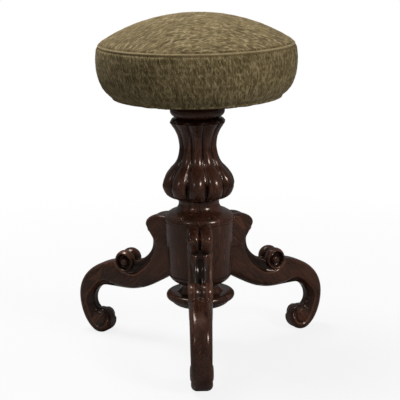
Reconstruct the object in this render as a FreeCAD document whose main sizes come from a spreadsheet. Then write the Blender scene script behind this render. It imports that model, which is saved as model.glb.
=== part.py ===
import FreeCAD, Part
import math
import os
import re

import Sketcher
from FreeCAD import Placement, Rotation, Vector

# A revolving piano stool with a round stuffed seat. The seat stands on an iron screw that turns
# in an iron nut let into the top of a turned and lobed column, so turning the seat raises it.
# The column is glued into a drum, three carved scroll legs are dowelled to the drum, and a
# turned pendant closes the drum from below.
# Millimetres, +Z up. The origin is on the floor, under the axis of the column, and the front
# leg points along -Y.

doc = FreeCAD.newDocument("revolving_piano_stool")

# Driving dimensions
SIZES = [
    ("fit_gap", 0.1, "glue or driven joint, between two fixed pieces"),
    ("running_gap", 0.05, "screw in its nut, radial"),
    ("turning_gap", 0.3, "between pieces that turn or slide past each other"),
    ("layer_gap", 0.3, "between the layers of the stuffing"),
    ("flat_gap", 0.1, "between flat pieces that are fastened together"),
    ("pilot_gap", 0.25, "wood screw or tack in its hole, radial"),
    # Drum
    ("drum_base", 106.6, "underside of the drum above the floor"),
    ("drum_height", 98.4, "from its underside to the joint under the column"),
    ("drum_top_radius", 52.8, "at the joint under the column"),
    ("drum_foot_radius", 49.0, "at the lower end of its tapered side"),
    ("drum_bead_height", 14.5, "of the rounded lower end"),
    ("drum_neck_radius", 30.8, "of its underside, where the pendant starts"),
    ("drum_groove_depth", 1.6, "turned groove between side and lower end"),
    ("drum_groove_width", 2.4, "of that groove"),
    ("socket_radius", 22.0, "bore of the drum for tenon and spigot"),
    # Column
    ("tenon_length", 52.0, "of the column into the drum"),
    ("shoulder_radius", 53.4, "widest, just over the drum"),
    ("shoulder_edge_rise", 3.0, "height of the widest place"),
    ("shoulder_rise", 11.6, "from the joint to the edge of the shoulder's top"),
    ("shoulder_top_radius", 48.6, "of that edge"),
    ("shoulder_neck_rise", 16.4, "height where the shoulder runs into the neck"),
    ("shoulder_neck_radius", 38.8, "at that height"),
    ("neck_radius", 31.0, "of the short neck under the lobed vase"),
    ("neck_rise", 33.0, "of the narrowest place of the neck"),
    ("vase_foot_rise", 35.0, "lower end of the lobes"),
    ("vase_foot_radius", 34.0, "of the lobes at that end"),
    ("vase_belly_rise", 57.0, "height of the widest place of the lobes"),
    ("vase_belly_radius", 55.9, "over the lobes"),
    ("vase_waist_rise", 113.0, "height of the narrowest place of the lobes"),
    ("vase_waist_radius", 28.8, "over the lobes"),
    ("vase_rim_drop", 8.0, "scalloped rim, under the top face"),
    ("vase_rim_radius", 42.7, "over the lobes"),
    ("vase_core_radius", 20.0, "of the round core that the lobes stand on"),
    ("lobe_count", 10, "lobes round the vase"),
    ("lobe_depth_share", 0.125, "depth of a groove, as a share of a lobe's width"),
    ("lobe_angle", 14.7, "degrees that the first lobe is turned from the right"),
    ("column_height", 160.0, "from the joint to the top face"),
    ("column_top_radius", 33.0, "of the small ring round the top face"),
    ("column_ring_height", 1.6, "of that ring"),
    ("column_ovolo_radius", 41.2, "foot of the rounded top, on the scalloped rim"),
    ("column_bore_radius", 13.0, "bore that the screw goes down in"),
    ("column_bore_depth", 190.0, "of that bore, from the top face"),
    # Nut
    ("nut_flange_radius", 27.0, "let flush into the top of the column"),
    ("nut_flange_height", 4.0, "thickness of the flange"),
    ("nut_sleeve_radius", 17.0, "outside of the threaded sleeve"),
    ("nut_length", 48.0, "flange and sleeve together"),
    ("nut_screw_circle", 22.0, "radius of the ring of wood screws"),
    ("nut_screw_count", 3, "wood screws in the nut's flange"),
    # Screw and its plate
    ("screw_radius", 11.0, "crest of the thread"),
    ("screw_length", 192.0, "below the plate"),
    ("screw_rivet_radius", 8.5, "of the end that is riveted in the plate"),
    ("screw_tip_chamfer", 2.0, "at the lower end"),
    ("plate_radius", 45.0, "iron plate under the seat board"),
    ("plate_height", 4.0, "thickness of that plate"),
    ("plate_screw_circle", 34.0, "radius of the ring of wood screws"),
    ("plate_screw_count", 6, "wood screws in the plate"),
    # Wood screws of both rings
    ("wood_screw_radius", 2.2, "shank"),
    ("wood_screw_head_radius", 4.2, "countersunk head"),
    ("wood_screw_length", 14.0, "over all"),
    # Collar
    ("collar_height", 26.4, "from the column to the plate"),
    ("collar_foot_radius", 33.0, "underside"),
    ("collar_disc_radius", 41.3, "widest place"),
    ("collar_disc_height", 19.0, "of the rounded disc"),
    ("collar_neck_radius", 24.0, "of the neck over the disc"),
    ("collar_neck_step", 1.0, "from the disc up to the neck"),
    # Seat board
    ("board_radius", 127.0, "round pine board"),
    ("board_height", 16.0, "thickness"),
    ("board_edge_round", 3.0, "rounded edges"),
    # Cushion, from the underside of the board
    ("seat_crown_rise", 126.0, "top of the cushion"),
    ("seat_seam_rise", 79.0, "seam between top panel and band"),
    ("seat_seam_radius", 147.0, "at that seam"),
    ("seat_bulge_rise", 49.0, "height of the widest place of the band"),
    ("seat_bulge_radius", 152.6, "overall radius of the seat"),
    ("seat_tuck_radius", 124.0, "where the band turns flat under the board"),
    ("cover_thickness", 1.6, "chenille cloth"),
    ("cover_hem_radius", 102.0, "inner edge of the cloth under the board"),
    ("wadding_thickness", 7.0, "cotton layer under the cloth"),
    ("bottoming_thickness", 0.8, "black cloth that closes the underside"),
    ("bottoming_radius", 116.0, "of that cloth"),
    ("bottoming_plate_gap", 1.0, "between that cloth and the iron plate"),
    # Tacks
    ("tack_circle", 109.0, "radius of the ring of tacks"),
    ("tack_count", 24, "tacks round the underside"),
    ("tack_radius", 0.9, "shank"),
    ("tack_head_radius", 3.2, "head"),
    ("tack_head_height", 1.2, "head"),
    ("tack_length", 11.0, "shank"),
    # Pendant
    ("pendant_neck_radius", 29.4, "under the drum"),
    ("pendant_neck_height", 13.6, "of that neck"),
    ("pendant_disc_radius", 52.5, "widest place"),
    ("pendant_disc_height", 12.0, "of the disc's rounded edge"),
    ("pendant_foot_radius", 34.0, "of the flat underside"),
    ("pendant_foot_drop", 15.0, "from the disc to the underside"),
    ("pendant_spigot_length", 36.0, "up into the drum"),
    # Legs, in the plane of a leg: reach from the column's axis, rise from the floor
    ("leg_root_thickness", 38.0, "across the leg, at the drum"),
    ("leg_foot_thickness", 31.0, "across the leg, at its outermost place"),
    ("leg_edge_round", 9.5, "rounded edges"),
    ("leg_reach", 220.5, "outermost place"),
    ("leg_reach_rise", 59.0, "height of that place"),
    ("leg_belly_rise", 80.0, "underside of the leg over the arch"),
    ("leg_root_lift", 5.1, "underside of the leg at the drum, over the drum's underside"),
    ("leg_root_fall", 0.6, "fall of the leg's underside at the drum for each mm outwards"),
    ("leg_top_lift", 9.5, "top of the leg, over the joint under the column"),
    ("shank_width", 25.0, "inner edge to outer edge at the height of the reach"),
    ("arch_radius", 27.5, "inside corner between underside and shank"),
    ("notch_stand", 24.7, "notch under the bulbs, out from the drum's top edge"),
    ("notch_drop", 36.5, "that notch, under the joint under the column"),
    ("bulb_stand", 35.7, "outermost place of the bulbs, out from the drum's top edge"),
    ("bulb_drop", 13.0, "that place, under the joint under the column"),
    ("bulb_edge_round", 7.5, "rounded edges of the bulbs at the top"),
    ("scroll_reach", 131.0, "centre of the middle scroll"),
    ("scroll_rise", 126.5, "centre of the middle scroll"),
    ("scroll_radius", 16.5, "of the middle scroll"),
    ("scroll_groove_depth", 3.5, "between the two rolls of the middle scroll"),
    ("saddle_drop", 1.0, "where the two curves meet, under the middle scroll's centre"),
    ("belly_beyond", 4.0, "where the underside has come level, beyond the middle scroll's centre"),
    ("foot_inset", 37.0, "centre of the scroll at the foot, in from the outermost place"),
    ("foot_radius", 20.0, "of the scroll at the foot"),
    ("foot_flat_depth", 0.7, "worn flat under the scroll at the foot"),
    ("eye_radius", 11.5, "round button on the scroll at the foot"),
    ("eye_inset", 2.0, "centre of that button, in from the scroll's centre"),
    ("eye_lift", 5.2, "centre of that button, over the scroll's centre"),
    ("carving_relief", 0.9, "that bulbs, scrolls and buttons stand proud of the sides"),
    # Dowels of the legs
    ("dowel_radius", 5.0, "beech dowels"),
    ("dowel_depth_in_drum", 24.0, "from the drum's side"),
    ("dowel_depth_in_leg", 22.0, "from the leg's inner face"),
    ("dowel_low_lift", 27.4, "of the lower dowel over the drum's underside"),
    ("dowel_high_lift", 81.4, "of the upper dowel over the drum's underside"),
]

sheet = doc.addObject("Spreadsheet::Sheet", "Sizes")
for number, (alias, value, note) in enumerate(SIZES, start=1):
    sheet.set("A%d" % number, alias)
    sheet.set("B%d" % number, str(value))
    sheet.set("C%d" % number, note)
    sheet.setAlias("B%d" % number, alias)
doc.recompute()

ALIASES = {alias for alias, value, note in SIZES}


def size(alias):
    """The value of one driving dimension."""
    return float(sheet.get(alias))


def bound(text):
    """A formula in the sheet's names, written as an expression that objects can be bound to."""
    return re.sub(r"[a-z_]+", lambda word: "Sizes." + word[0] if word[0] in ALIASES else word[0], text)


def value_of(text):
    """The value of such a formula."""
    return float(sheet.evalExpression(bound(text)))


def bind(thing, **formulas):
    """Bind properties of an object to formulas in the sheet's names."""
    for name, text in formulas.items():
        thing.setExpression(name, bound(text))


def lift(thing, text):
    """Bind the height of an object's own zero."""
    thing.setExpression(".Placement.Base.z", bound(text))


def origin_plane(body, role):
    return next(item for item in body.Origin.OriginFeatures if item.Role == role)


def new_body(name):
    body = doc.addObject("PartDesign::Body", name)
    body.Label = name
    body.AllowCompound = True
    return body


# Sketches


def new_sketch(body, name, role):
    sketch = body.newObject("Sketcher::SketchObject", name)
    sketch.AttachmentSupport = [(origin_plane(body, role), "")]
    sketch.MapMode = "FlatFace"
    return sketch


def bulged_arc(start, end, bulge):
    """The arc from start to end whose height is bulge times its chord, positive to the right."""
    chord = end - start
    middle = (start + end) * 0.5
    right = Vector(chord.y, -chord.x, 0)
    return Part.Arc(start, middle + right * bulge, end)


def half_section(body, name, corners):
    """Sketch a closed half-section from the bottom up. Each corner is (radius, height, bulge of the
    side to the next corner), radius and height as formulas, and the sketch is held by them. A
    positive bulge swells outwards and a negative one is hollow."""
    sketch = new_sketch(body, name, "XZ_Plane")
    points = [Vector(value_of(r), value_of(z), 0) for r, z, bulge in corners]
    count = len(corners)
    starts = []
    for index, (radius, height, bulge) in enumerate(corners):
        start, end = points[index], points[(index + 1) % count]
        if bulge:
            side = bulged_arc(start, end, bulge)
            sketch.addGeometry(side, False)
            # A sketch's arc runs anticlockwise, so a hollow one starts at the far corner
            starts.append((1, 2) if bulge > 0 else (2, 1))
        else:
            sketch.addGeometry(Part.LineSegment(start, end), False)
            starts.append((1, 2))
    for index in range(count):
        following = (index + 1) % count
        sketch.addConstraint(
            Sketcher.Constraint("Coincident", index, starts[index][1], following, starts[following][0])
        )
    for index, (radius, height, bulge) in enumerate(corners):
        first = starts[index][0]
        for kind, formula in (("DistanceX", radius), ("DistanceY", height)):
            if formula == "0" and kind == "DistanceX":
                sketch.addConstraint(Sketcher.Constraint("PointOnObject", index, first, -2))
                continue
            if formula == "0":
                sketch.addConstraint(Sketcher.Constraint("PointOnObject", index, first, -1))
                continue
            held = sketch.addConstraint(
                Sketcher.Constraint(kind, -1, 1, index, first, value_of(formula))
            )
            sketch.setExpression("Constraints[%d]" % held, bound(formula))
        if bulge:
            far_radius, far_height = corners[(index + 1) % count][:2]
            chord = "sqrt((%s-(%s))^2+(%s-(%s))^2)" % (radius, far_radius, height, far_height)
            share = (0.25 + bulge * bulge) / (2 * abs(bulge))
            formula = "%s*%.9f" % (chord, share)
            held = sketch.addConstraint(Sketcher.Constraint("Radius", index, value_of(formula)))
            sketch.setExpression("Constraints[%d]" % held, bound(formula))
    return sketch


def turn(body, name, corners, kind="PartDesign::Revolution"):
    """Turn a half-section round the body's own upright axis, added or cut away."""
    sketch = half_section(body, name + "_section", corners)
    feature = body.newObject(kind, name)
    feature.Profile = sketch
    feature.ReferenceAxis = (sketch, ["V_Axis"])
    feature.Angle = 360
    sketch.Visibility = False
    doc.recompute()
    return feature


def ring_of(body, feature, count):
    """Repeat a feature round the body's own upright axis."""
    pattern = body.newObject("PartDesign::PolarPattern", feature.Name + "_ring")
    pattern.Originals = [feature]
    pattern.Axis = (next(item for item in body.Origin.OriginFeatures if item.Role == "Z_Axis"), [""])
    pattern.Angle = 360
    bind(pattern, Occurrences=count)
    body.Tip = pattern
    doc.recompute()
    return pattern


AXIS_LENGTH = 1.0


def off_axis_turn(body, name, reach, corners, kind):
    """Turn a half-section round an upright axis that stands at a reach along X."""
    moved = [("%s+%s" % (reach, radius), height, bulge) for radius, height, bulge in corners]
    sketch = half_section(body, name + "_section", moved)
    foot = Vector(value_of(reach), 0, 0)
    axis = sketch.addGeometry(Part.LineSegment(foot, foot + Vector(0, AXIS_LENGTH, 0)), True)
    sketch.addConstraint(Sketcher.Constraint("Vertical", axis))
    held = sketch.addConstraint(Sketcher.Constraint("DistanceX", -1, 1, axis, 1, foot.x))
    sketch.setExpression("Constraints[%d]" % held, bound(reach))
    sketch.addConstraint(Sketcher.Constraint("PointOnObject", axis, 1, -1))
    sketch.addConstraint(Sketcher.Constraint("DistanceY", axis, 1, axis, 2, AXIS_LENGTH))
    feature = body.newObject(kind, name)
    feature.Profile = sketch
    feature.ReferenceAxis = (sketch, ["Axis0"])
    feature.Angle = 360
    sketch.Visibility = False
    doc.recompute()
    return feature


def wood_screw_corners(head_face, gap, downwards):
    """The half-section of a countersunk wood screw, or of the hole for one when gap is a gap."""
    side = "-" if downwards else "+"
    head = "wood_screw_head_radius%s" % gap
    shank = "wood_screw_radius%s" % gap
    under_head = "%s%s(wood_screw_head_radius-wood_screw_radius)" % (head_face, side)
    tip = "%s%s(wood_screw_length%s)" % (head_face, side, gap)
    return [
        ("0", head_face, 0),
        (head, head_face, 0),
        (shank, under_head, 0),
        (shank, tip, 0),
        ("0", tip, 0),
    ]


# Drum: a turned block with a tapered side, bored right through for the tenon and the spigot, and
# with two dowel holes for each leg

DRUM_SIDE_SLOPE = "(drum_top_radius-drum_foot_radius)/(drum_height-drum_bead_height)"
groove_top = "drum_bead_height+drum_groove_width"
groove_top_radius = "drum_foot_radius+drum_groove_width*" + DRUM_SIDE_SLOPE

drum_turning = new_body("drum_turning")
turn(drum_turning, "drum_side", [
    ("socket_radius", "0", 0),
    ("drum_neck_radius", "0", 0.12),
    ("drum_foot_radius", "drum_bead_height", 0),
    ("drum_foot_radius-drum_groove_depth", "drum_bead_height", 0),
    ("drum_foot_radius-drum_groove_depth", groove_top, 0),
    (groove_top_radius, groove_top, 0),
    ("drum_top_radius", "drum_height", 0),
    ("socket_radius", "drum_height", 0),
])
lift(drum_turning, "drum_base")

LEG_NAMES = ("front", "right", "left")
DOWEL_LIFTS = ("dowel_low_lift", "dowel_high_lift")


def leg_angle(number):
    """The angle of a leg about the column's axis, counted from the front one."""
    return 360 * number / len(LEG_NAMES)


def drum_radius_at(lift):
    """Formula for the drum's radius at a height over its underside."""
    return "(drum_foot_radius+(%s-drum_bead_height)*%s)" % (lift, DRUM_SIDE_SLOPE)


def dowel_cylinder(name, lift, gap=""):
    """A dowel, or the hole for one when gap is a gap, of the leg that points along -Y."""
    rod = doc.addObject("Part::Cylinder", name)
    inner = "%s-dowel_depth_in_drum%s" % (drum_radius_at(lift), gap.replace("+", "-"))
    length = "dowel_depth_in_drum+dowel_depth_in_leg" + gap + gap
    bind(rod, Radius="dowel_radius" + gap, Height=length)
    rod.Placement = Placement(Vector(), Rotation(Vector(1, 0, 0), 90))
    rod.setExpression(".Placement.Base.y", bound("-(%s)" % inner))
    rod.setExpression(".Placement.Base.z", bound("drum_base+" + lift))
    return rod


def swung(shape, angle):
    """A copy of a shape, turned about the column's axis."""
    return shape.copy().rotate(Vector(), Vector(0, 0, 1), angle)


def finished(name, kind="Part::Feature"):
    """The object that holds one finished piece."""
    piece = doc.addObject(kind, name)
    piece.Label = name
    return piece


hole_tools = [
    dowel_cylinder("dowel_hole_%d" % number, lift, "+fit_gap") for number, lift in enumerate(DOWEL_LIFTS)
]
doc.recompute()
dowel_holes = Part.makeCompound([tool.Shape for tool in hole_tools])

drum_holes = doc.addObject("Part::Feature", "drum_dowel_holes")
drum_holes.Shape = Part.makeCompound([
    swung(dowel_holes, leg_angle(number)) for number in range(len(LEG_NAMES))
])
drum = finished("drum", "Part::Cut")
drum.Base, drum.Tool = drum_turning, drum_holes

# Pendant: a turned disc on a neck, glued up into the drum with its spigot

pendant_body = new_body("pendant")
disc_middle = "-pendant_neck_height-pendant_disc_height/2"
disc_flat_radius = "pendant_disc_radius-pendant_disc_height/2"
turn(pendant_body, "pendant_turning", [
    ("0", disc_middle + "-pendant_foot_drop", 0),
    ("pendant_foot_radius", disc_middle + "-pendant_foot_drop", 0.12),
    (disc_flat_radius, disc_middle + "-pendant_disc_height/2", 0.2),
    ("pendant_disc_radius", disc_middle, 0.2),
    (disc_flat_radius, disc_middle + "+pendant_disc_height/2", 0),
    ("pendant_neck_radius+pendant_disc_height/2", disc_middle + "+pendant_disc_height/2", -0.15),
    ("pendant_neck_radius", "-flat_gap", 0),
    ("socket_radius-fit_gap", "-flat_gap", 0),
    ("socket_radius-fit_gap", "pendant_spigot_length", 0),
    ("0", "pendant_spigot_length", 0),
])
lift(pendant_body, "drum_base")

# Column: a turned core that carries a ring of rounded lobes, flared at the top, narrow at the
# waist and full at the belly, with a tenon below and a bore for the screw

VASE_RIM = "(column_height-vase_rim_drop)"
FLARE_POWER = 2.2
SWELL_POWER = 1.25
# Shares of the way between two heights at which the vase has a section
VASE_STATIONS = {
    (VASE_RIM, "vase_waist_rise"): (0.0, 0.12, 0.3, 0.6, 1.0),
    ("vase_waist_rise", "vase_belly_rise"): (0.25, 0.45, 0.62, 0.8, 1.0),
    ("vase_belly_rise", "vase_foot_rise"): (0.4, 0.7, 0.9, 1.0),
}


def vase_radius(rise):
    """Radius over the lobes at a rise over the joint: a flare, a swell and a rounded foot."""
    rim, waist = value_of(VASE_RIM), size("vase_waist_rise")
    belly, foot = size("vase_belly_rise"), size("vase_foot_rise")
    waist_radius, belly_radius = size("vase_waist_radius"), size("vase_belly_radius")
    if rise >= waist:
        share = (rise - waist) / (rim - waist)
        return waist_radius + (size("vase_rim_radius") - waist_radius) * share**FLARE_POWER
    if rise >= belly:
        share = ((waist - rise) / (waist - belly)) ** SWELL_POWER
        return waist_radius + (belly_radius - waist_radius) * (1 - math.cos(math.pi * share)) / 2
    share = (belly - rise) / (belly - foot)
    foot_radius = size("vase_foot_radius")
    return foot_radius + (belly_radius - foot_radius) * math.sqrt(max(0.0, 1 - share**2))


def lobed_wire(rise):
    """One closed section of the vase: an arc for each lobe, between grooves."""
    count = int(size("lobe_count"))
    crest = vase_radius(rise)
    step = 2 * math.pi / count
    groove = crest - crest * step * size("lobe_depth_share")
    first = math.radians(size("lobe_angle")) - step / 2

    def at(radius, angle):
        return Vector(radius * math.cos(angle), radius * math.sin(angle), rise)

    lobes = []
    for number in range(count):
        start = first + number * step
        lobe = Part.Arc(at(groove, start), at(crest, start + step / 2), at(groove, start + step))
        lobes.append(lobe.toShape())
    return Part.Wire(lobes)


vase_rises = []
for (upper, lower), shares in VASE_STATIONS.items():
    top, foot = value_of(upper), value_of(lower)
    vase_rises += [top + (foot - top) * share for share in shares]
vase_lobes = doc.addObject("Part::Feature", "vase_lobes")
vase_lobes.Shape = Part.makeLoft([lobed_wire(rise) for rise in vase_rises], True, False)

column_core = new_body("column_core")
turn(column_core, "column_turning", [
    ("0", "-tenon_length", 0),
    ("socket_radius-fit_gap", "-tenon_length", 0),
    ("socket_radius-fit_gap", "flat_gap", 0),
    ("(shoulder_radius+drum_top_radius)/2", "flat_gap", 0.1),
    ("shoulder_radius", "shoulder_edge_rise", 0.12),
    ("shoulder_top_radius", "shoulder_rise", 0.06),
    ("shoulder_neck_radius", "shoulder_neck_rise", -0.2),
    ("neck_radius", "neck_rise", 0),
    ("neck_radius-2*column_ring_height", "vase_foot_rise+column_ring_height", 0),
    ("vase_core_radius", "vase_belly_rise", 0),
    ("vase_core_radius", VASE_RIM + "-column_ring_height", 0),
    ("column_ovolo_radius", VASE_RIM + "-column_ring_height/2", 0.2),
    ("column_top_radius", "column_height-column_ring_height", 0),
    ("column_top_radius", "column_height", 0),
    ("0", "column_height", 0),
])

column_bores = new_body("column_bores")
turn(column_bores, "column_boring", [
    ("0", "column_height-column_bore_depth", 0),
    ("column_bore_radius", "column_height-column_bore_depth", 0),
    ("column_bore_radius", "column_height-nut_length-flat_gap", 0),
    ("nut_sleeve_radius+fit_gap", "column_height-nut_length-flat_gap", 0),
    ("nut_sleeve_radius+fit_gap", "column_height-nut_flange_height-flat_gap", 0),
    ("nut_flange_radius+fit_gap", "column_height-nut_flange_height-flat_gap", 0),
    ("nut_flange_radius+fit_gap", "column_height+column_ring_height", 0),
    ("0", "column_height+column_ring_height", 0),
])
nut_pilots = new_body("nut_screw_pilots")
pilot = off_axis_turn(
    nut_pilots, "nut_pilot", "nut_screw_circle",
    wood_screw_corners("column_height", "+pilot_gap", True), "PartDesign::Revolution",
)
ring_of(nut_pilots, pilot, "nut_screw_count")

column_solid = doc.addObject("Part::MultiFuse", "column_solid")
column_solid.Shapes = [column_core, vase_lobes]
column_hollow = doc.addObject("Part::MultiFuse", "column_hollow")
column_hollow.Shapes = [column_bores, nut_pilots]
column = finished("column", "Part::Cut")
column.Base, column.Tool = column_solid, column_hollow
lift(column, "drum_base+drum_height")

# Nut: a flanged iron bush let flush into the top of the column, with its wood screws

nut_body = new_body("column_nut")
turn(nut_body, "nut_turning", [
    ("screw_radius+running_gap", "column_height-nut_length", 0),
    ("nut_sleeve_radius", "column_height-nut_length", 0),
    ("nut_sleeve_radius", "column_height-nut_flange_height", 0),
    ("nut_flange_radius", "column_height-nut_flange_height", 0),
    ("nut_flange_radius", "column_height", 0),
    ("screw_radius+running_gap", "column_height", 0),
])
nut_hole = off_axis_turn(
    nut_body, "nut_screw_hole", "nut_screw_circle",
    wood_screw_corners("column_height", "+pilot_gap", True), "PartDesign::Groove",
)
ring_of(nut_body, nut_hole, "nut_screw_count")
lift(nut_body, "drum_base+drum_height")

nut_screws = new_body("nut_screws")
nut_screw = off_axis_turn(
    nut_screws, "nut_screw", "nut_screw_circle",
    wood_screw_corners("column_height", "", True), "PartDesign::Revolution",
)
ring_of(nut_screws, nut_screw, "nut_screw_count")
lift(nut_screws, "drum_base+drum_height")

# Legs: each is a scroll sawn from a plank. The two curves of the body meet behind the middle
# scroll, a pair of bulbs crowns it at the drum, and its foot rolls inwards to a button. A place
# on the leg is (reach from the column's axis, rise from the floor).

JOINT_RISE = value_of("drum_base+drum_height")
DRUM_SIDE = size("drum_top_radius")
ROOT_REACH = size("drum_foot_radius") - size("leg_edge_round")
TOP_RISE = JOINT_RISE + size("leg_top_lift")
NOTCH = (DRUM_SIDE + size("notch_stand"), JOINT_RISE - size("notch_drop"))
BULB = (DRUM_SIDE + size("bulb_stand"), JOINT_RISE - size("bulb_drop"))
SCROLL = (size("scroll_reach"), size("scroll_rise"))
SADDLE = (SCROLL[0], SCROLL[1] - size("saddle_drop"))
BELLY = (SCROLL[0] + size("belly_beyond"), size("leg_belly_rise"))
OUTERMOST = (size("leg_reach"), size("leg_reach_rise"))
FOOT = (OUTERMOST[0] - size("foot_inset"), size("foot_radius") - size("foot_flat_depth"))
EYE = (FOOT[0] - size("eye_inset"), FOOT[1] + size("eye_lift"))

# Each bend keeps its first and its last heading for these shares of its way
UNDERSIDE_BEND = (0.33, 0.4)
HEEL_BEND = (0.55, 0.5)
OUTER_BEND = (0.68, 0.45)
SADDLE_BEND = (0.56, 0.62)
INNER_BULB_BEND = (0.8, 0.7)
CROWN_BEND = (0.55, 0.55)
# Where the shank's inner side runs into the foot's scroll, in radii of the scroll
SHANK_END = (-0.3, 0.69)
SHANK_PULL = (0.25, 0.84)
SHANK_START_LIFT = 1.14
# The bulbs' fullest line over the notch and the reach of their crown, as shares of their own span
SWELL = (0.6, 0.4)
BULB_UPRIGHT = 0.67
CROWN_REACH = 0.2


def on_leg(reach, rise):
    """A point in the plane of the leg that points along -Y."""
    return Vector(0, -reach, rise)


def curve(*poles):
    """A smooth curve in the leg's plane that leaves along its first two poles and arrives along
    its last two."""
    bezier = Part.BezierCurve()
    bezier.setPoles([on_leg(*pole) for pole in poles])
    return bezier.toShape()


def straight(start, end):
    return Part.makeLine(on_leg(*start), on_leg(*end))


def between(start, end, shares):
    """The place at these shares of the reach and of the rise between two places."""
    return tuple(near + (far - near) * share for near, far, share in zip(start, end, shares))


def bend_to_level(start, end, pulls):
    """A quarter bend that leaves upright and arrives level."""
    return curve(start, between(start, end, (0, pulls[0])), between(end, start, (pulls[1], 0)), end)


def bend_to_upright(start, end, pulls):
    """A quarter bend that leaves level and arrives upright."""
    return curve(start, between(start, end, (pulls[0], 0)), between(end, start, (0, pulls[1])), end)


def half_thickness(reach):
    """Half the leg's thickness at a reach: it tapers evenly from the drum to the foot."""
    root, foot = size("leg_root_thickness"), size("leg_foot_thickness")
    return (root + (foot - root) * (reach - DRUM_SIDE) / (OUTERMOST[0] - DRUM_SIDE)) / 2


def tapered(outline, relief):
    """Saw an outline from the plank and plane both sides to the taper, standing proud by relief."""
    full = 4 * size("leg_root_thickness")
    blank = Part.Face(Part.Wire(outline)).extrude(Vector(full, 0, 0))
    blank.translate(Vector(-full / 2, 0, 0))
    outer = 2 * OUTERMOST[0]
    near, far = half_thickness(0) + relief, half_thickness(outer) + relief
    plan = Part.makePolygon([
        Vector(near, 0, 0), Vector(far, -outer, 0), Vector(-far, -outer, 0), Vector(-near, 0, 0),
        Vector(near, 0, 0),
    ])
    wedge = Part.Face(plan).extrude(Vector(0, 0, 2 * TOP_RISE))
    wedge.translate(Vector(0, 0, -size("foot_radius")))
    return blank.common(wedge)


def rounded_sides(solid, radius):
    """Round the edges all round both sides of a sawn piece, except at its inner face."""
    inner = max(vertex.Point.y for vertex in solid.Vertexes)
    edges = {}
    for face in solid.Faces:
        if abs(face.normalAt(0, 0).x) < 0.9:
            continue
        for edge in face.Edges:
            if any(abs(vertex.Point.y - inner) > 0.01 for vertex in edge.Vertexes):
                edges[edge.hashCode()] = edge
    return solid.makeFillet(radius, list(edges.values()))


def leg_body():
    """The outline of the leg without its bulbs and scrolls."""
    fall = size("leg_root_fall")
    root_foot = (size("drum_foot_radius"), size("drum_base") + size("leg_root_lift"))
    root_inner = (ROOT_REACH, root_foot[1] + fall * (root_foot[0] - ROOT_REACH))
    root_pull = UNDERSIDE_BEND[0] * (BELLY[0] - root_foot[0])
    inner, arch = OUTERMOST[0] - size("shank_width"), size("arch_radius")
    arch_start, arch_end = (inner - arch, BELLY[1]), (inner, BELLY[1] - arch)
    halfway = arch * (1 - math.sqrt(0.5))
    roll = size("foot_radius")
    shank_end, shank_pull = (
        (FOOT[0] + roll * across, FOOT[1] + roll * up) for across, up in (SHANK_END, SHANK_PULL)
    )
    under_foot = (FOOT[0], 0)
    inner_top = (ROOT_REACH, BULB[1])
    return [
        straight(root_inner, root_foot),
        curve(root_foot, (root_foot[0] + root_pull, root_foot[1] - fall * root_pull),
              between(BELLY, root_foot, (UNDERSIDE_BEND[1], 0)), BELLY),
        straight(BELLY, arch_start),
        Part.Arc(on_leg(*arch_start), on_leg(inner - halfway, BELLY[1] - halfway),
                 on_leg(*arch_end)).toShape(),
        curve(arch_end, (inner, FOOT[1] + roll * SHANK_START_LIFT), shank_pull, shank_end),
        straight(shank_end, under_foot),
        bend_to_upright(under_foot, OUTERMOST, HEEL_BEND),
        bend_to_level(OUTERMOST, SADDLE, OUTER_BEND),
        bend_to_upright(SADDLE, NOTCH, SADDLE_BEND),
        bend_to_level(NOTCH, inner_top, INNER_BULB_BEND),
        straight(inner_top, root_inner),
    ]


def bulb_pair():
    """The two bulbs side by side that crown the leg, each running out to a point at the notch."""
    crown = (DRUM_SIDE + size("bulb_stand") * CROWN_REACH, TOP_RISE)
    swell = between(NOTCH, BULB, SWELL)
    tail = between(NOTCH, swell, (-1.5, -1.5))
    root_tail, root_top = (ROOT_REACH, tail[1]), (ROOT_REACH, TOP_RISE)
    outline = [
        straight(root_tail, tail),
        straight(tail, NOTCH),
        curve(NOTCH, swell, (BULB[0], between(NOTCH, BULB, (0, BULB_UPRIGHT))[1]), BULB),
        bend_to_level(BULB, crown, CROWN_BEND),
        straight(crown, root_top),
        straight(root_top, root_tail),
    ]
    pair = tapered(outline, size("carving_relief"))
    wide, high = 2 * size("leg_root_thickness"), 2 * TOP_RISE
    half_space = Part.makeBox(wide, high, high, Vector(0, -high, 0))
    bulb = rounded_sides(pair.common(half_space), size("bulb_edge_round"))
    return [bulb, bulb.mirror(Vector(), Vector(1, 0, 0))]


def middle_scroll():
    """Two rolls side by side, turned about the middle of the scroll."""
    reach, rise = SCROLL
    radius = size("scroll_radius")
    half = half_thickness(reach) + size("carving_relief")
    valley = radius - size("scroll_groove_depth")

    def at(across, out):
        return Vector(across, -reach, rise + out)

    def roll(start, end):
        return Part.Arc(at(start, valley), at((start + end) / 2, radius), at(end, valley)).toShape()

    section = Part.Face(Part.Wire([
        Part.makeLine(at(-half, 0), at(-half, valley)),
        roll(-half, 0),
        roll(0, half),
        Part.makeLine(at(half, valley), at(half, 0)),
        Part.makeLine(at(half, 0), at(-half, 0)),
    ]))
    return section.revolve(at(0, 0), Vector(1, 0, 0), 360)


def disc_across(place, radius, half, edge_round):
    """A disc across the leg with rounded edges."""
    reach, rise = place
    disc = Part.makeCylinder(radius, 2 * half, Vector(-half, -reach, rise), Vector(1, 0, 0))
    return disc.makeFillet(edge_round, [edge for edge in disc.Edges if len(edge.Vertexes) == 1])


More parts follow.
